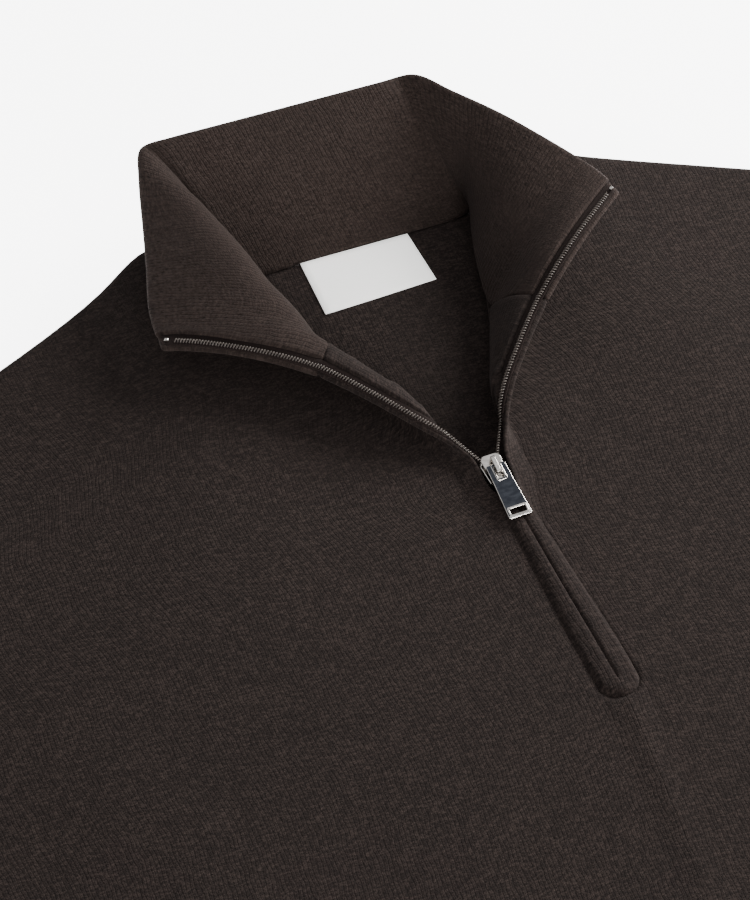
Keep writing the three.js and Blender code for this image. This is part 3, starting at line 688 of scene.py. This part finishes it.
round_end_rows = np.linspace(2.78, 3.0, 18)[:-1] / last_row
front_row_stops = np.union1d(row_stops([10, 9, 10, 20, 18, 12, 8, 8, 12, 9, 8]), round_end_rows)
front_sheets = []
for side in (1, -1):
    columns = np.concatenate([strip_edge, strip_rest])
    u, v = np.meshgrid(np.arange(len(columns)), front_row_stops)
    width = strip_width(side, v)
    inner = columns[np.minimum(u, len(strip_edge) - 1)]
    share = np.where(u < len(strip_edge), 0, columns[u])
    from_edge = inner + share * (width - strip_edge[-1])
    points = rolled(side, strip_place(side, from_edge, v), v)
    points[..., 2] += placket_relief(points) * (1 - opened(v))
    cloth = np.stack([side * from_edge, fold_line[side](v)[..., 1] - arch(0)], axis=-1)
    turned = facing_depth * opened(v) * ramp(from_edge, facing_from, facing_full)
    rim = rim_extra * opened(v) * (1 - ramp(from_edge, 1.6, 5.5))
    front_sheets.append(cloth_sheet(points, cloth, below=half_wall + turned,
                                    above=half_wall + rim, flip=side < 0))
    u, v = np.meshgrid(panel_stops, front_row_stops)
    points = panel_place(side, u, v)
    fold = fold_line[side](v)
    from_zip = side * (points[..., 0] - fold[..., 0])
    cloth = np.stack([side * (strip_width(side, v) + from_zip), points[..., 1] - arch(from_zip)], axis=-1)
    away = ramp(from_zip, 2, 30)
    points = rolled(side, points, v)
    points[..., 2] += soft_folds(points, front_folds) * away + placket_relief(points) * (1 - opened(v))
    front_sheets.append(cloth_sheet(points, cloth, flip=side < 0))
front_panel = thick_cloth("front_panel", front_sheets, body_knit)
dressed(front_panel, "front_body")

# The collar: one doubled band, 68 mm tall, folded at its top edge and linked to the neck. It
# stands behind, turns at two corners, and spreads over both shoulders down to the zip.
collar_rows = [
    {"foot": [-43, -77, 25], "roll": [-72, -55, 31], "top": [-99, -40, 24.5], "pull": 1},
    {"foot": [-34.8, -64.3, 25.1], "roll": [-54, -55, 37], "top": [-98.5, -30, 25], "pull": 1.1},
    {"foot": [-36, -52, 9.6], "roll": [-41, -49, 43], "top": [-97, -18, 27], "pull": 1.4},
    {"foot": [-44, -28, 9.2], "roll": [-48, -26, 47], "top": [-92.5, -3, 31], "pull": 1.6},
    {"foot": [-51, -8, 9.3], "roll": [-55, 2, 50], "top": [-87.5, 16, 36], "pull": 1.6},
    {"foot": [-54, 0, 9.4], "roll": [-60, 16, 48], "top": [-81.8, 38, 45], "pull": 1.4},
    {"foot": [-52, 0, 8.6], "roll": [-62, 28, 38], "top": [-77.4, 49.3, 49], "pull": 1},
    {"foot": [-46, -1.5, 7.6], "roll": [-53, 25, 31], "top": [-65, 50.4, 49.2], "pull": 0.8},
    {"foot": [-25, -0.6, 7.6], "roll": [-34, 23, 33], "top": [-42, 50.5, 49], "pull": 0.8},
    {"foot": [0, 0, 7.6], "roll": [-10, 23, 33], "top": [-17, 50.5, 49], "pull": 0.8},
    {"foot": [26, 0.2, 7.6], "roll": [16, 23, 32], "top": [10, 50.5, 49], "pull": 0.8},
    {"foot": [48, 0.5, 7.6], "roll": [38, 22, 27], "top": [32, 50.5, 49], "pull": 0.8},
    {"foot": [54.5, 2, 8.4], "roll": [46, 20, 26], "top": [46.6, 49.6, 49.7], "pull": 0.9},
    {"foot": [57, 3, 9.4], "roll": [54, 10, 27], "top": [59, 34, 49.5], "pull": 1},
    {"foot": [52, -12, 9.2], "roll": [56, -8, 30], "top": [73, 16, 48.5], "pull": 1},
    {"foot": [47, -30, 9.2], "roll": [56, -25, 33], "top": [85, -1, 46.5], "pull": 1},
    {"foot": [43.5, -55, 9.6], "roll": [60, -42, 34], "top": [96, -17, 44], "pull": 1},
    {"foot": [48.8, -64.4, 23.8], "roll": [72, -52, 42], "top": [102, -26.5, 42], "pull": 0.9},
    {"foot": [57.5, -76.5, 31.5], "roll": [77, -60, 41], "top": [106.5, -37, 40], "pull": 0.9},
]
collar_lift = 1.3
collar_tall = 68
# The collar's ground is far lighter than the body's: painted light, standing for the light that falls on
# the collar's inner faces.
collar_brown_painted_light = (0.0165, 0.0108, 0.0091)
collar_last = len(collar_rows) - 1
collar_foot = smooth_line([row["foot"] for row in collar_rows])
collar_roll = smooth_line([row["roll"] for row in collar_rows])
collar_top = smooth_line([row["top"] for row in collar_rows])
collar_pull = smooth_line([[row["pull"], 0, 0] for row in collar_rows])


def collar_place(along, height):
    """A point of the collar: along the neckline, and up the band from 0 to 1."""
    foot, roll, top = collar_foot(along), collar_roll(along), collar_top(along)
    foot = foot + unit(roll - foot) * collar_lift
    a = ((1 - height) ** 2)[..., None]
    b = (2 * collar_pull(along)[..., 0] * height * (1 - height))[..., None]
    c = (height**2)[..., None]
    return (foot * a + roll * b + top * c) / (a + b + c)


def collar_inside(side, from_edge, height):
    """The place along the collar that lies some millimetres in from one zip end."""
    end = 0.0 if side < 0 else 1.0
    step = 1 / collar_last if side < 0 else -1 / collar_last
    start = collar_place(np.full_like(height, end), height)

    def reach(share):
        return np.linalg.norm(collar_place(end + step * share, height) - start, axis=-1)

    share = from_edge / reach(np.ones_like(height))
    for _ in range(5):
        share = np.where(from_edge > 0, share * from_edge / np.maximum(reach(share), 1e-9), 0)
    return end + step * share


collar_heights = np.array([0, 0.02, 0.05, 0.09, 0.13, 0.18, 0.23, 0.28, 0.33, 0.38, 0.43, 0.48,
                           0.53, 0.58, 0.63, 0.68, 0.73, 0.78, 0.83, 0.88, 0.92, 0.95, 0.975, 1])
middle_columns = np.linspace(1.0, collar_last - 1.0, 5 * (collar_last - 2) + 1) / collar_last
column_count = 2 * len(strip_edge) + len(middle_columns)
place_along = np.zeros((len(collar_heights), column_count))
from_end = np.full_like(place_along, 99.0)
for k, distance in enumerate(strip_edge):
    for side, column in ((-1, k), (1, column_count - 1 - k)):
        place_along[:, column] = collar_inside(side, np.full_like(collar_heights, distance), collar_heights)
        from_end[:, column] = distance
place_along[:, len(strip_edge):-len(strip_edge)] = middle_columns
band_height = np.repeat(collar_heights[:, None], column_count, axis=1)
collar_points = collar_place(place_along, band_height)
middle_line = collar_points[len(collar_heights) // 2]
length_along = np.broadcast_to(way_along(middle_line), band_height.shape)
collar_cloth = np.stack([length_along, band_height * collar_tall], axis=-1)


def crease_line(row, lean, width):
    """A crease up the collar from a row of its table, leaning as it rises: 1 on it, 0 off it."""
    off = place_along * collar_last - (row + lean * band_height)
    return np.exp(-((off / width) ** 2))


corner_crease = 2.6 * crease_line(12.5, -1.0, 0.32) * (0.35 + 0.65 * band_height)
fold_crease = 1.5 * crease_line(6.45, -0.25, 0.22) * ramp(band_height, 0.05, 0.4)
wrinkle = 0.5 * crease_line(3.3, -1.2, 0.25) * np.sin(np.pi * band_height)
crease = corner_crease + fold_crease + wrinkle
across_way = np.gradient(collar_points, axis=1)
up_way = np.gradient(collar_points, axis=0)
collar_points = collar_points - unit(np.cross(across_way, up_way)) * crease[..., None]
puff = 0.35 * np.sin(np.pi * band_height)
inner_depth = half_wall + (facing_depth + puff) * ramp(from_end, facing_from, facing_full)
outer_depth = half_wall + rim_extra * (1 - ramp(from_end, 1.2, 5))
# The collar's knit: the body's knit with that painted light in its ground, deeper stitches and deeper
# painted shade in their hollows.
collar_knit_painted_light = knit_material("collar_knit_painted_light", wale, 0.30 * mm, collar_brown_painted_light, hollow_shade=0.72)
collar_band = thick_cloth(
    "collar_band", [cloth_sheet(collar_points, collar_cloth, outer_depth, inner_depth)], collar_knit_painted_light
)
dressed(collar_band, "collar")

# Sleeves: each is a tube knitted to shape, set in at the armhole and laid flat beside the
# body, its two layers on each other. Rib cuffs close them.
arm_length = 592
sleeve_slope = math.radians(48)
sleeve_full = 14
cuff_width = 96
cuff_height = 65
cuff_in = 3
armhole_gap = 0.72
fold_radius = (top_row - floor_row) / 2
slope = np.array([math.cos(sleeve_slope), -math.sin(sleeve_slope), 0])
towards_body = np.array([slope[1], -slope[0], 0])
underarm = slit_row / last_row
sleeve_end = side_of(1, np.array(1.0), 0) + slope * arm_length


def sleeve_place(across, down):
    """A point of the wearer's left sleeve: across from its outside, down from the armhole."""
    start = side_of(1, 1 - across * (1 - underarm), 0) + np.array([armhole_gap, 0, 0])
    end = sleeve_end + towards_body * (cuff_width * np.asarray(across)[..., None])
    bow = sleeve_full * across * np.sin(np.pi * down**0.75)
    return mixed(start, end, down) + towards_body * bow[..., None]


def cuff_place(across, down):
    """A point of the cuff below that sleeve."""
    wide = cuff_in + (cuff_width - 2 * cuff_in) * np.asarray(across)
    below_sleeve = slope * (seam_gap + down * cuff_height)[..., None]
    return sleeve_end + towards_body * wide[..., None] + below_sleeve


def flat_tube(stations, rows, place, rise, ripple=None):
    """A tube laid flat: an upper layer, a fold, a lower layer and a fold."""
    n = len(stations)
    across = np.concatenate([stations, [1], stations[::-1], [0], stations[:1]])
    level = np.concatenate([np.ones(n), [0.5], np.zeros(n), [0.5], [1]])
    a, down = np.meshgrid(across, rows)
    upright = np.broadcast_to(level, a.shape)
    points = place(a, down)
    inside = place(np.where(a > 0.5, stations[-2], stations[1]), down)
    out = points - inside
    out[..., 2] = 0
    points = points + unit(out) * (fold_radius * (upright == 0.5))[..., None]
    top = top_row + rise(a, down)
    points[..., 2] = floor_row + (top - floor_row) * upright
    if ripple is not None:
        points[..., 2] += ripple(a, down) * np.where(upright == 1, 1, 0)
    half_way = np.full_like(a, 0.5)
    long_way = np.linalg.norm(place(half_way, down) - place(half_way, down * 0), axis=-1)
    return points, np.stack([way_along(points), -long_way], axis=-1)


sleeve_folds = [
    {"start": [300, -210], "end": [330, -330], "width": 12, "height": 1.6},
    {"start": [330, -250], "end": [420, -330], "width": 14, "height": 1.8},
    {"start": [370, -380], "end": [430, -420], "width": 10, "height": 1.4},
    {"start": [420, -400], "end": [500, -470], "width": 13, "height": 1.2},
    {"start": [300, -150], "end": [280, -90], "width": 12, "height": 1.0},
]
sleeve_stations = np.linspace(0, 1, 25)
sleeve_rows = np.linspace(0, 1, 70)


def sleeve_rise(across, down):
    """The upper layer stands a little off the lower one, with a few soft folds."""
    lift = 4 * np.sin(np.pi * down) * np.sin(np.pi * across)
    return lift + soft_folds(sleeve_place(across, down), sleeve_folds) * np.sin(np.pi * across)


def mirrored(points):
    """The same points on the wearer's right."""
    return points * np.array([-1, 1, 1])


sleeve_points, sleeve_cloth = flat_tube(sleeve_stations, sleeve_rows, sleeve_place, sleeve_rise)
for word, points in (("left", sleeve_points), ("right", mirrored(sleeve_points))):
    sleeve_sheet = cloth_sheet(points, sleeve_cloth, flip=word == "right")
    sleeve = thick_cloth(f"sleeve_shell_{word}", [sleeve_sheet], body_knit)
    dressed(sleeve, f"sleeve_{word}")

# Cuffs and hem: rib bands, two stitches up and two down, narrower than what they close. Laid
# flat like the tubes, with the ribs as real ridges.
rib_pitch = 5.2
rib_height = 0.45
rib_knit = knit_material("rib_knit", wale, 0.30 * mm, ground_brown)


def ribs(width):
    """Ridges across a band of that width."""
    count = round(width / rib_pitch)
    return lambda across, down: rib_height * np.cos(2 * np.pi * count * np.asarray(across))


def hem_place(across, down):
    """A point of the hem band."""
    half = side_rows[0][0] - cuff_in
    x = -half + 2 * half * np.asarray(across)
    y = hem_top - seam_gap - np.asarray(down) * hem_height
    return np.stack([x, y, np.zeros_like(x)], axis=-1)


def rib_band(name, node, place, width, mirror=False):
    """A rib band laid flat, with four columns to a rib."""
    stations = np.linspace(0, 1, 4 * round(width / rib_pitch) + 1)
    points, cloth = flat_tube(stations, np.linspace(0, 1, 7), place, lambda a, d: 0.3, ribs(width))
    if mirror:
        points = mirrored(points)
    band = thick_cloth(name, [cloth_sheet(points, cloth, flip=mirror)], rib_knit)
    dressed(band, node)


rib_band("cuff_rib_left", "cuff_left", cuff_place, cuff_width - 2 * cuff_in)
rib_band("cuff_rib_right", "cuff_right", cuff_place, cuff_width - 2 * cuff_in, mirror=True)
rib_band("hem_band", "hem_rib", hem_place, 2 * (side_rows[0][0] - cuff_in))

# The zip: woven tapes behind the turned-out edges, a wound nylon coil along each open one,
# and a small nickel stop at the top of each.
coil_in = 3.0
coil_pitch = 1.27
coil_wide = 0.8
coil_high = 0.5
wire = 0.26
coil_from_row = 8.5
cord_radius = 0.36
tape_half = 0.25
stop_height = 0.962


def inwards(place, side, from_edge, t, depth):
    """A point at a depth behind the cloth's inner face."""
    small = 1e-3
    across = place(from_edge + 0.2, t) - place(np.maximum(from_edge - 0.2, 0), t)
    along = place(from_edge, np.minimum(t + small, 1)) - place(from_edge, np.maximum(t - small, 0))
    return place(from_edge, t) + unit(np.cross(across, along) * -side) * depth


def zip_place(side, from_edge, t, depth):
    """A point beside the zip edge: t up to 1 on the front, and past 1 up the collar."""
    from_edge, t = np.broadcast_arrays(np.asarray(from_edge, float), np.asarray(t, float))

    def on_front(reach, v):
        return strip_place(side, reach, v)

    def on_collar(reach, height):
        return collar_place(collar_inside(side, reach, height), height)

    front = inwards(on_front, side, from_edge, np.minimum(t, 1), depth)
    collar = inwards(on_collar, side, from_edge, np.clip(t - 1, 0, 1), depth)
    return np.where((t <= 1)[..., None], front, collar)


tape_cloth, tape_tree, tape_shader = new_material("zip_tape_weave")
tape_weave = grain(tape_tree, cloth_way(tape_tree), 0.35 * mm, 0.5 * mm, 0.3, 0.7, 2.0)
tape_colour = tint(tape_tree, tape_weave, (0.0068, 0.0042, 0.0038), (0.015, 0.0098, 0.0088))
bumped(tape_tree, tape_shader, tape_weave, 0.1 * mm)
feed(tape_tree, tape_shader, {"Base Color": tape_colour, "Roughness": 0.9, "Specular IOR Level": 0.12})

coil_nylon, coil_tree, coil_shader = new_material("coil_nylon")
coil_grain = grain(coil_tree, object_way(coil_tree), 2 * mm, 2 * mm, 0.3, 0.7, 1.0)
coil_colour = tint(coil_tree, coil_grain, (0.040, 0.032, 0.028), (0.080, 0.066, 0.058))
feed(coil_tree, coil_shader, {"Base Color": coil_colour, "Roughness": 0.32})


def metal(name, under, over, smear_wide, seed, smoothest):
    """A polished metal between two colours, smeared and dulled a little by handling."""
    material, tree, shader = new_material(name)
    smear = grain(tree, object_way(tree), smear_wide, 2 * mm, 0.3, 0.7, seed, 3.0)
    roughness = math_node(tree, "MULTIPLY_ADD", smear, 0.08, smoothest)
    feed(tree, shader, {"Base Color": tint(tree, smear, under, over), "Roughness": roughness,
                        "Metallic": 1})
    return material


nickel = metal("polished_nickel", (0.48, 0.455, 0.43), (0.68, 0.65, 0.62), 3 * mm, 4.0, 0.10)


def values_at(values, lengths, places):
    """Points or ways known at some lengths along the zip, read at other places along it."""
    return np.stack([np.interp(places, lengths, values[:, k]) for k in range(3)], axis=1)


def tube(name, path, radius, material, sides=6, closed_ends=True):
    """A round wire through a row of points, in millimetres of the cut."""
    path = np.asarray(path, float)
    tangent = unit(np.gradient(path, axis=0))
    across = unit(np.cross(tangent, [0.13, 0.31, 0.94]))
    other = np.cross(across, tangent)
    turn = 2 * np.pi * np.arange(sides) / sides
    ring = across[:, None] * np.cos(turn)[:, None] + other[:, None] * np.sin(turn)[:, None]
    points = (path[:, None] + ring * radius).reshape(-1, 3) * mm
    points[:, 1] += neck_y
    faces = []
    for i in range(len(path) - 1):
        for k in range(sides):
            a, b = i * sides + k, i * sides + (k + 1) % sides
            faces.append([a, a + sides, b + sides, b])
    if closed_ends:
        faces.append(list(range(sides)))
        faces.append([(len(path) - 1) * sides + k for k in reversed(range(sides))])
    return mesh_object(name, points.tolist(), faces, [material])


slider_at = np.array([11, -137.5, 9.2])
slider_turn = Matrix.Rotation(math.radians(2.3), 3, "Z") @ Matrix.Rotation(math.radians(9), 3, "X")
slider_length = 12.5
tape_depth = half_wall + 0.15
zip_depth = half_wall + 0.35
stop_depth = half_wall + 1.3
for side, word in ((1, "left"), (-1, "right")):
    tape_rows = front_row_stops[front_row_stops > underarm + 0.01]
    tape_rows = np.concatenate([tape_rows, 1 + collar_heights[2:-1]])
    from_edge, t = np.meshgrid(np.array([1.3, 2.2, 3.2, 4.4, 5.4, 6.3]), tape_rows)
    points = zip_place(side, from_edge, t, tape_depth)
    cloth = np.stack([from_edge, t * 100], axis=-1)
    tape_sheet = cloth_sheet(points, cloth, tape_half, tape_half, flip=side < 0)
    tape = thick_cloth(f"zip_tape_{word}_weave", [tape_sheet], tape_cloth, smooth=0)
    dressed(tape, f"zip_tape_{word}")

    mouth = np.array(slider_turn @ Vector((side * 2.9, slider_length / 2 - 2, 0))) + slider_at
    coil_rows = front_row_stops[front_row_stops >= coil_from_row / last_row]
    coil_rows = np.concatenate([coil_rows, 1 + collar_heights[1:-3]])
    middle = np.vstack([mouth, zip_place(side, coil_in, coil_rows, zip_depth + coil_high)])
    lengths = way_along(middle)
    turns = lengths[-1] / coil_pitch
    steps = np.linspace(0, lengths[-1], round(turns * 14))
    spine = values_at(middle, lengths, steps)
    heading = unit(np.gradient(spine, axis=0))
    toward_edge = zip_place(side, coil_in - 1.5, coil_rows, zip_depth + coil_high) - middle[1:]
    edge_way = values_at(np.vstack([toward_edge[:1], toward_edge]), lengths, steps)
    edge_way = unit(edge_way - heading * np.sum(edge_way * heading, axis=1, keepdims=True))
    off_cloth = np.cross(heading, edge_way) * side
    turn = 2 * np.pi * steps / coil_pitch
    wound = (spine + edge_way * (coil_wide * np.cos(turn))[:, None]
             + off_cloth * (coil_high * np.sin(turn))[:, None])
    coil = tube(f"zip_coil_{word}_wound", wound, wire, coil_nylon)
    dressed(coil, f"zip_coil_{word}")

    cord_path = middle[1:] + values_at(off_cloth, steps, lengths[1:]) * coil_high
    cord = tube(f"zip_cord_{word}", cord_path, cord_radius, tape_cloth)
    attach(cord, "garment")

# The slider, its tab and the stops: bevelled plates, cut from outlines in millimetres. In the
# slider's frame x is across, y up the zip and z out of the cloth.
gunmetal = metal("dark_gunmetal", (0.035, 0.038, 0.048), (0.055, 0.06, 0.072), 4 * mm, 9.0, 0.2)


def rounded(corners, radius):
    """An outline with an arc of that radius in place of each corner."""
    outline = []
    for i, corner in enumerate(corners):
        here = Vector(corner)
        back, ahead = (Vector(corners[i - 1]) - here, Vector(corners[(i + 1) % len(corners)]) - here)
        reach = min(radius, back.length * 0.45, ahead.length * 0.45)
        start, end = here + back.normalized() * reach, here + ahead.normalized() * reach
        for k in range(5):
            t = k / 4
            outline.append(start * (1 - t) ** 2 + here * (2 * t * (1 - t)) + end * t**2)
    return outline


def box_outline(wide, low, high):
    """The corners of an upright rectangle about x = 0."""
    return [(-wide / 2, low), (wide / 2, low), (wide / 2, high), (-wide / 2, high)]


def plate(outlines, low, high, bevel, face=0, rim=0):
    """A flat piece between two heights: the first outline is its edge, the others holes."""
    curve = bpy.data.curves.new("outline", "CURVE")
    curve.dimensions = "2D"
    curve.fill_mode = "BOTH"
    curve.extrude = (high - low) / 2 - bevel
    curve.bevel_depth = bevel
    curve.bevel_resolution = 2
    curve.offset = -bevel
    for outline in outlines:
        spline = curve.splines.new("POLY")
        spline.points.add(len(outline) - 1)
        spline.use_cyclic_u = True
        for spot, (x, y) in zip(spline.points, outline):
            spot.co = (x, y, 0, 1)
    shape = bpy.data.objects.new("outline", curve)
    mesh = bpy.data.meshes.new_from_object(shape)
    bpy.data.objects.remove(shape)
    bpy.data.curves.remove(curve)
    mesh.transform(Matrix.Translation((0, 0, (low + high) / 2)))
    for polygon in mesh.polygons:
        polygon.material_index = face if abs(polygon.normal.z) > 0.99 else rim
    return mesh


def metal_piece(name, meshes, place, materials):
    """Joins plates into one object and puts them in the garment's frame."""
    points, faces, kinds = [], [], []
    for mesh in meshes:
        start = len(points)
        points.extend([vertex.co[:] for vertex in mesh.vertices])
        faces.extend([[start + i for i in polygon.vertices] for polygon in mesh.polygons])
        kinds.extend([polygon.material_index for polygon in mesh.polygons])
        bpy.data.meshes.remove(mesh)
    piece = mesh_object(name, points, faces, materials, smooth=False)
    piece.data.transform(Matrix.Translation((0, neck_y, 0)) @ Matrix.Scale(mm, 4) @ place)
    piece.data.polygons.foreach_set("material_index", kinds)
    return piece


slider_place = Matrix.Translation(Vector(slider_at)) @ slider_turn.to_4x4()
slider_top_half = 4.6
slider_foot_half = 3.6
slider_half = slider_length / 2
mouth_half = 1.6
plate_thick = 1.1
slider_outline = rounded([(-3.2, slider_half), (-slider_top_half, slider_half - 1.8),
                          (-slider_foot_half, 1 - slider_half), (1 - slider_foot_half, -slider_half),
                          (slider_foot_half - 1, -slider_half), (slider_foot_half, 1 - slider_half),
                          (slider_top_half, slider_half - 1.8), (3.2, slider_half)], 1.8)
wedge_outline = [(-1.3, slider_half - 0.4), (0, 1), (1.3, slider_half - 0.4)]
bridge_outline = rounded([(-4.6, 0), (-4.6, 4.2), (3.6, 4.2), (3.6, 0)], 1.4)
bridge_window = rounded([(-3.4, 0.4), (-3.4, 3.0), (2.4, 3.0), (2.4, 0.4)], 0.6)
bridge = plate([bridge_outline, bridge_window], -1.0, 1.0, 0.35)
bridge.transform(Matrix.Translation((0, 0, mouth_half + plate_thick / 2))
                 @ Matrix(((0, 0, 1, 0), (1, 0, 0, 0), (0, 1, 0, 0), (0, 0, 0, 1))))
slider_body = metal_piece("slider_body", [
    plate([slider_outline], mouth_half, mouth_half + plate_thick, 0.5),
    plate([slider_outline], -mouth_half - plate_thick, -mouth_half, 0.5),
    plate([wedge_outline], -mouth_half - 0.2, mouth_half + 0.2, 0.05),
    bridge,
], slider_place, [nickel])
dressed(slider_body, "slider")

tab_long = 27
tab_end = 0.75 - tab_long
tab_half_wall = 0.75
tab_place = (slider_place @ Matrix.Translation((0, -0.6, mouth_half + plate_thick + 1.35))
             @ Matrix.Rotation(math.radians(-1.8), 4, "X"))
tab_outline = rounded([(-4.3, 0.75), (-4.4, -8.4), (-5.15, tab_end + 0.4), (-4.6, tab_end),
                       (4.6, tab_end), (5.15, tab_end + 0.4), (4.4, -8.4), (4.3, 0.75)], 0.9)
eye = rounded(box_outline(2.8, -6.4, -0.75), 0.5)
slot = rounded(box_outline(7.0, tab_end + 1.7, tab_end + 4.5), 0.7)
tab_body = metal_piece("tab_body", [
    plate([tab_outline, eye, slot], -tab_half_wall, tab_half_wall - 0.25, 0.22, face=1),
    plate([rounded(box_outline(4.8, -7.6, 0.75), 1.0), eye], -0.4, tab_half_wall, 0.3, face=1),
    plate([rounded(box_outline(8.8, tab_end + 0.7, tab_end + 5.6), 1.0), slot], -0.4, tab_half_wall, 0.3),
    plate([rounded(box_outline(10.1, tab_end + 0.05, tab_end + 1.5), 0.5)], -0.4, tab_half_wall, 0.3),
], tab_place, [nickel, gunmetal])
dressed(tab_body, "pull_tab", "tab")

for side, word in ((1, "left"), (-1, "right")):
    at, below_it = zip_place(side, coil_in, 1 + stop_height - np.array([0, 0.03]), stop_depth)
    along = Vector(at - below_it).normalized()
    across = along.cross(Vector((0, 0, 1))).normalized()
    basis = Matrix((across, along, across.cross(along))).transposed().to_4x4()
    clamp = metal_piece(f"top_stop_{word}_clamp", [
        plate([rounded(box_outline(1.5, -0.9, 0.9), 0.5)], -0.7, 0.7, 0.3),
    ], Matrix.Translation(Vector(at)) @ basis, [nickel])
    dressed(clamp, f"top_stop_{word}")

# The linked neck seam: a fine rope of yarn between the collar's foot and the body, which closes the gap
# there all round. Along the back the rope is near black, as painted shade in the seam; on the front it
# takes the body's knit.
# Painted shade: the back's rope is made of the darkest fibre alone, to stand for the shade in the seam.
seam_painted_shade = knit_material("seam_painted_shade", wale, 0.2 * mm, dark_fibre)
seam_radius = 0.5
seam_up = 0.45
seam_parts = (
    ("neck_seam_right", 0, 2, body_knit),
    ("neck_seam_back", 2, collar_last - 2, seam_painted_shade),
    ("neck_seam_left", collar_last - 2, collar_last, body_knit),
)
for name, start, end, yarn in seam_parts:
    rope_along = np.linspace(start / collar_last, end / collar_last, 16 * (end - start))
    rope_rise = unit(collar_roll(rope_along) - collar_foot(rope_along))
    neck_rope = tube(name, collar_foot(rope_along) + rope_rise * seam_up, seam_radius, yarn)
    neck_rope.data.uv_layers.new(name="cloth")
    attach(neck_rope, "garment")

# The neck label: a bare woven satin label, sewn in with the back neck seam. A faint emission lifts its
# white: a painted glow.
label_corners = {"top": [[-24.5, -1.3], [24.5, -1.0]], "bottom": [[-23.5, -30.4], [27.5, -28.0]]}
label_above = 1.25
label_half = 0.22
satin, satin_tree, satin_shader = new_material("label_satin")
satin_threads = grain(satin_tree, cloth_way(satin_tree), 1.6 * mm, 0.22 * mm, 0.3, 0.7, 6.0)
satin_colour = tint(satin_tree, satin_threads, (0.92, 0.92, 0.90), (0.98, 0.98, 0.97))
bumped(satin_tree, satin_shader, satin_threads, 0.06 * mm)
# The emission is a painted glow, which lifts the label's white.
feed(satin_tree, satin_shader, {"Base Color": satin_colour, "Roughness": 0.55,
                                "Emission Color": (0.95, 0.95, 0.93), "Emission Strength": 0.45})


def back_height(x, y):
    """The back panel's middle height at a place."""
    half_chest = 275
    side = np.where(x < 0, -1, 1)
    height = np.zeros_like(x)
    for each in (1, -1):
        u = np.abs(x) / half_chest
        v = 1 + y / -hem_top
        for _ in range(60):
            p = back_place(each, u, v)
            u = np.clip(u + (np.abs(x) - np.abs(p[..., 0])) / half_chest, 0, 1)
            v = np.clip(v + (y - p[..., 1]) / (2 * half_chest), 0, 1)
        height = np.where(side == each, back_place(each, u, v)[..., 2], height)
    return height


share_x, share_y = np.meshgrid(np.linspace(0, 1, 17), np.linspace(0, 1, 11))
top_edge = mixed(np.array(label_corners["top"][0]), np.array(label_corners["top"][1]), share_x)
bottom_edge = mixed(np.array(label_corners["bottom"][0]), np.array(label_corners["bottom"][1]), share_x)
label_flat = bottom_edge + (top_edge - bottom_edge) * share_y[..., None]
label_crown = 0.5 * np.sin(np.pi * share_y) * np.sin(np.pi * share_x)
label_height = back_height(label_flat[..., 0], label_flat[..., 1]) + label_above + label_crown
label_points = np.concatenate([label_flat, label_height[..., None]], axis=-1)
label_sheet = cloth_sheet(label_points, label_flat, label_half, label_half)
neck_label = thick_cloth("neck_label_satin", [label_sheet], satin, smooth=0)
dressed(neck_label, "neck_label")
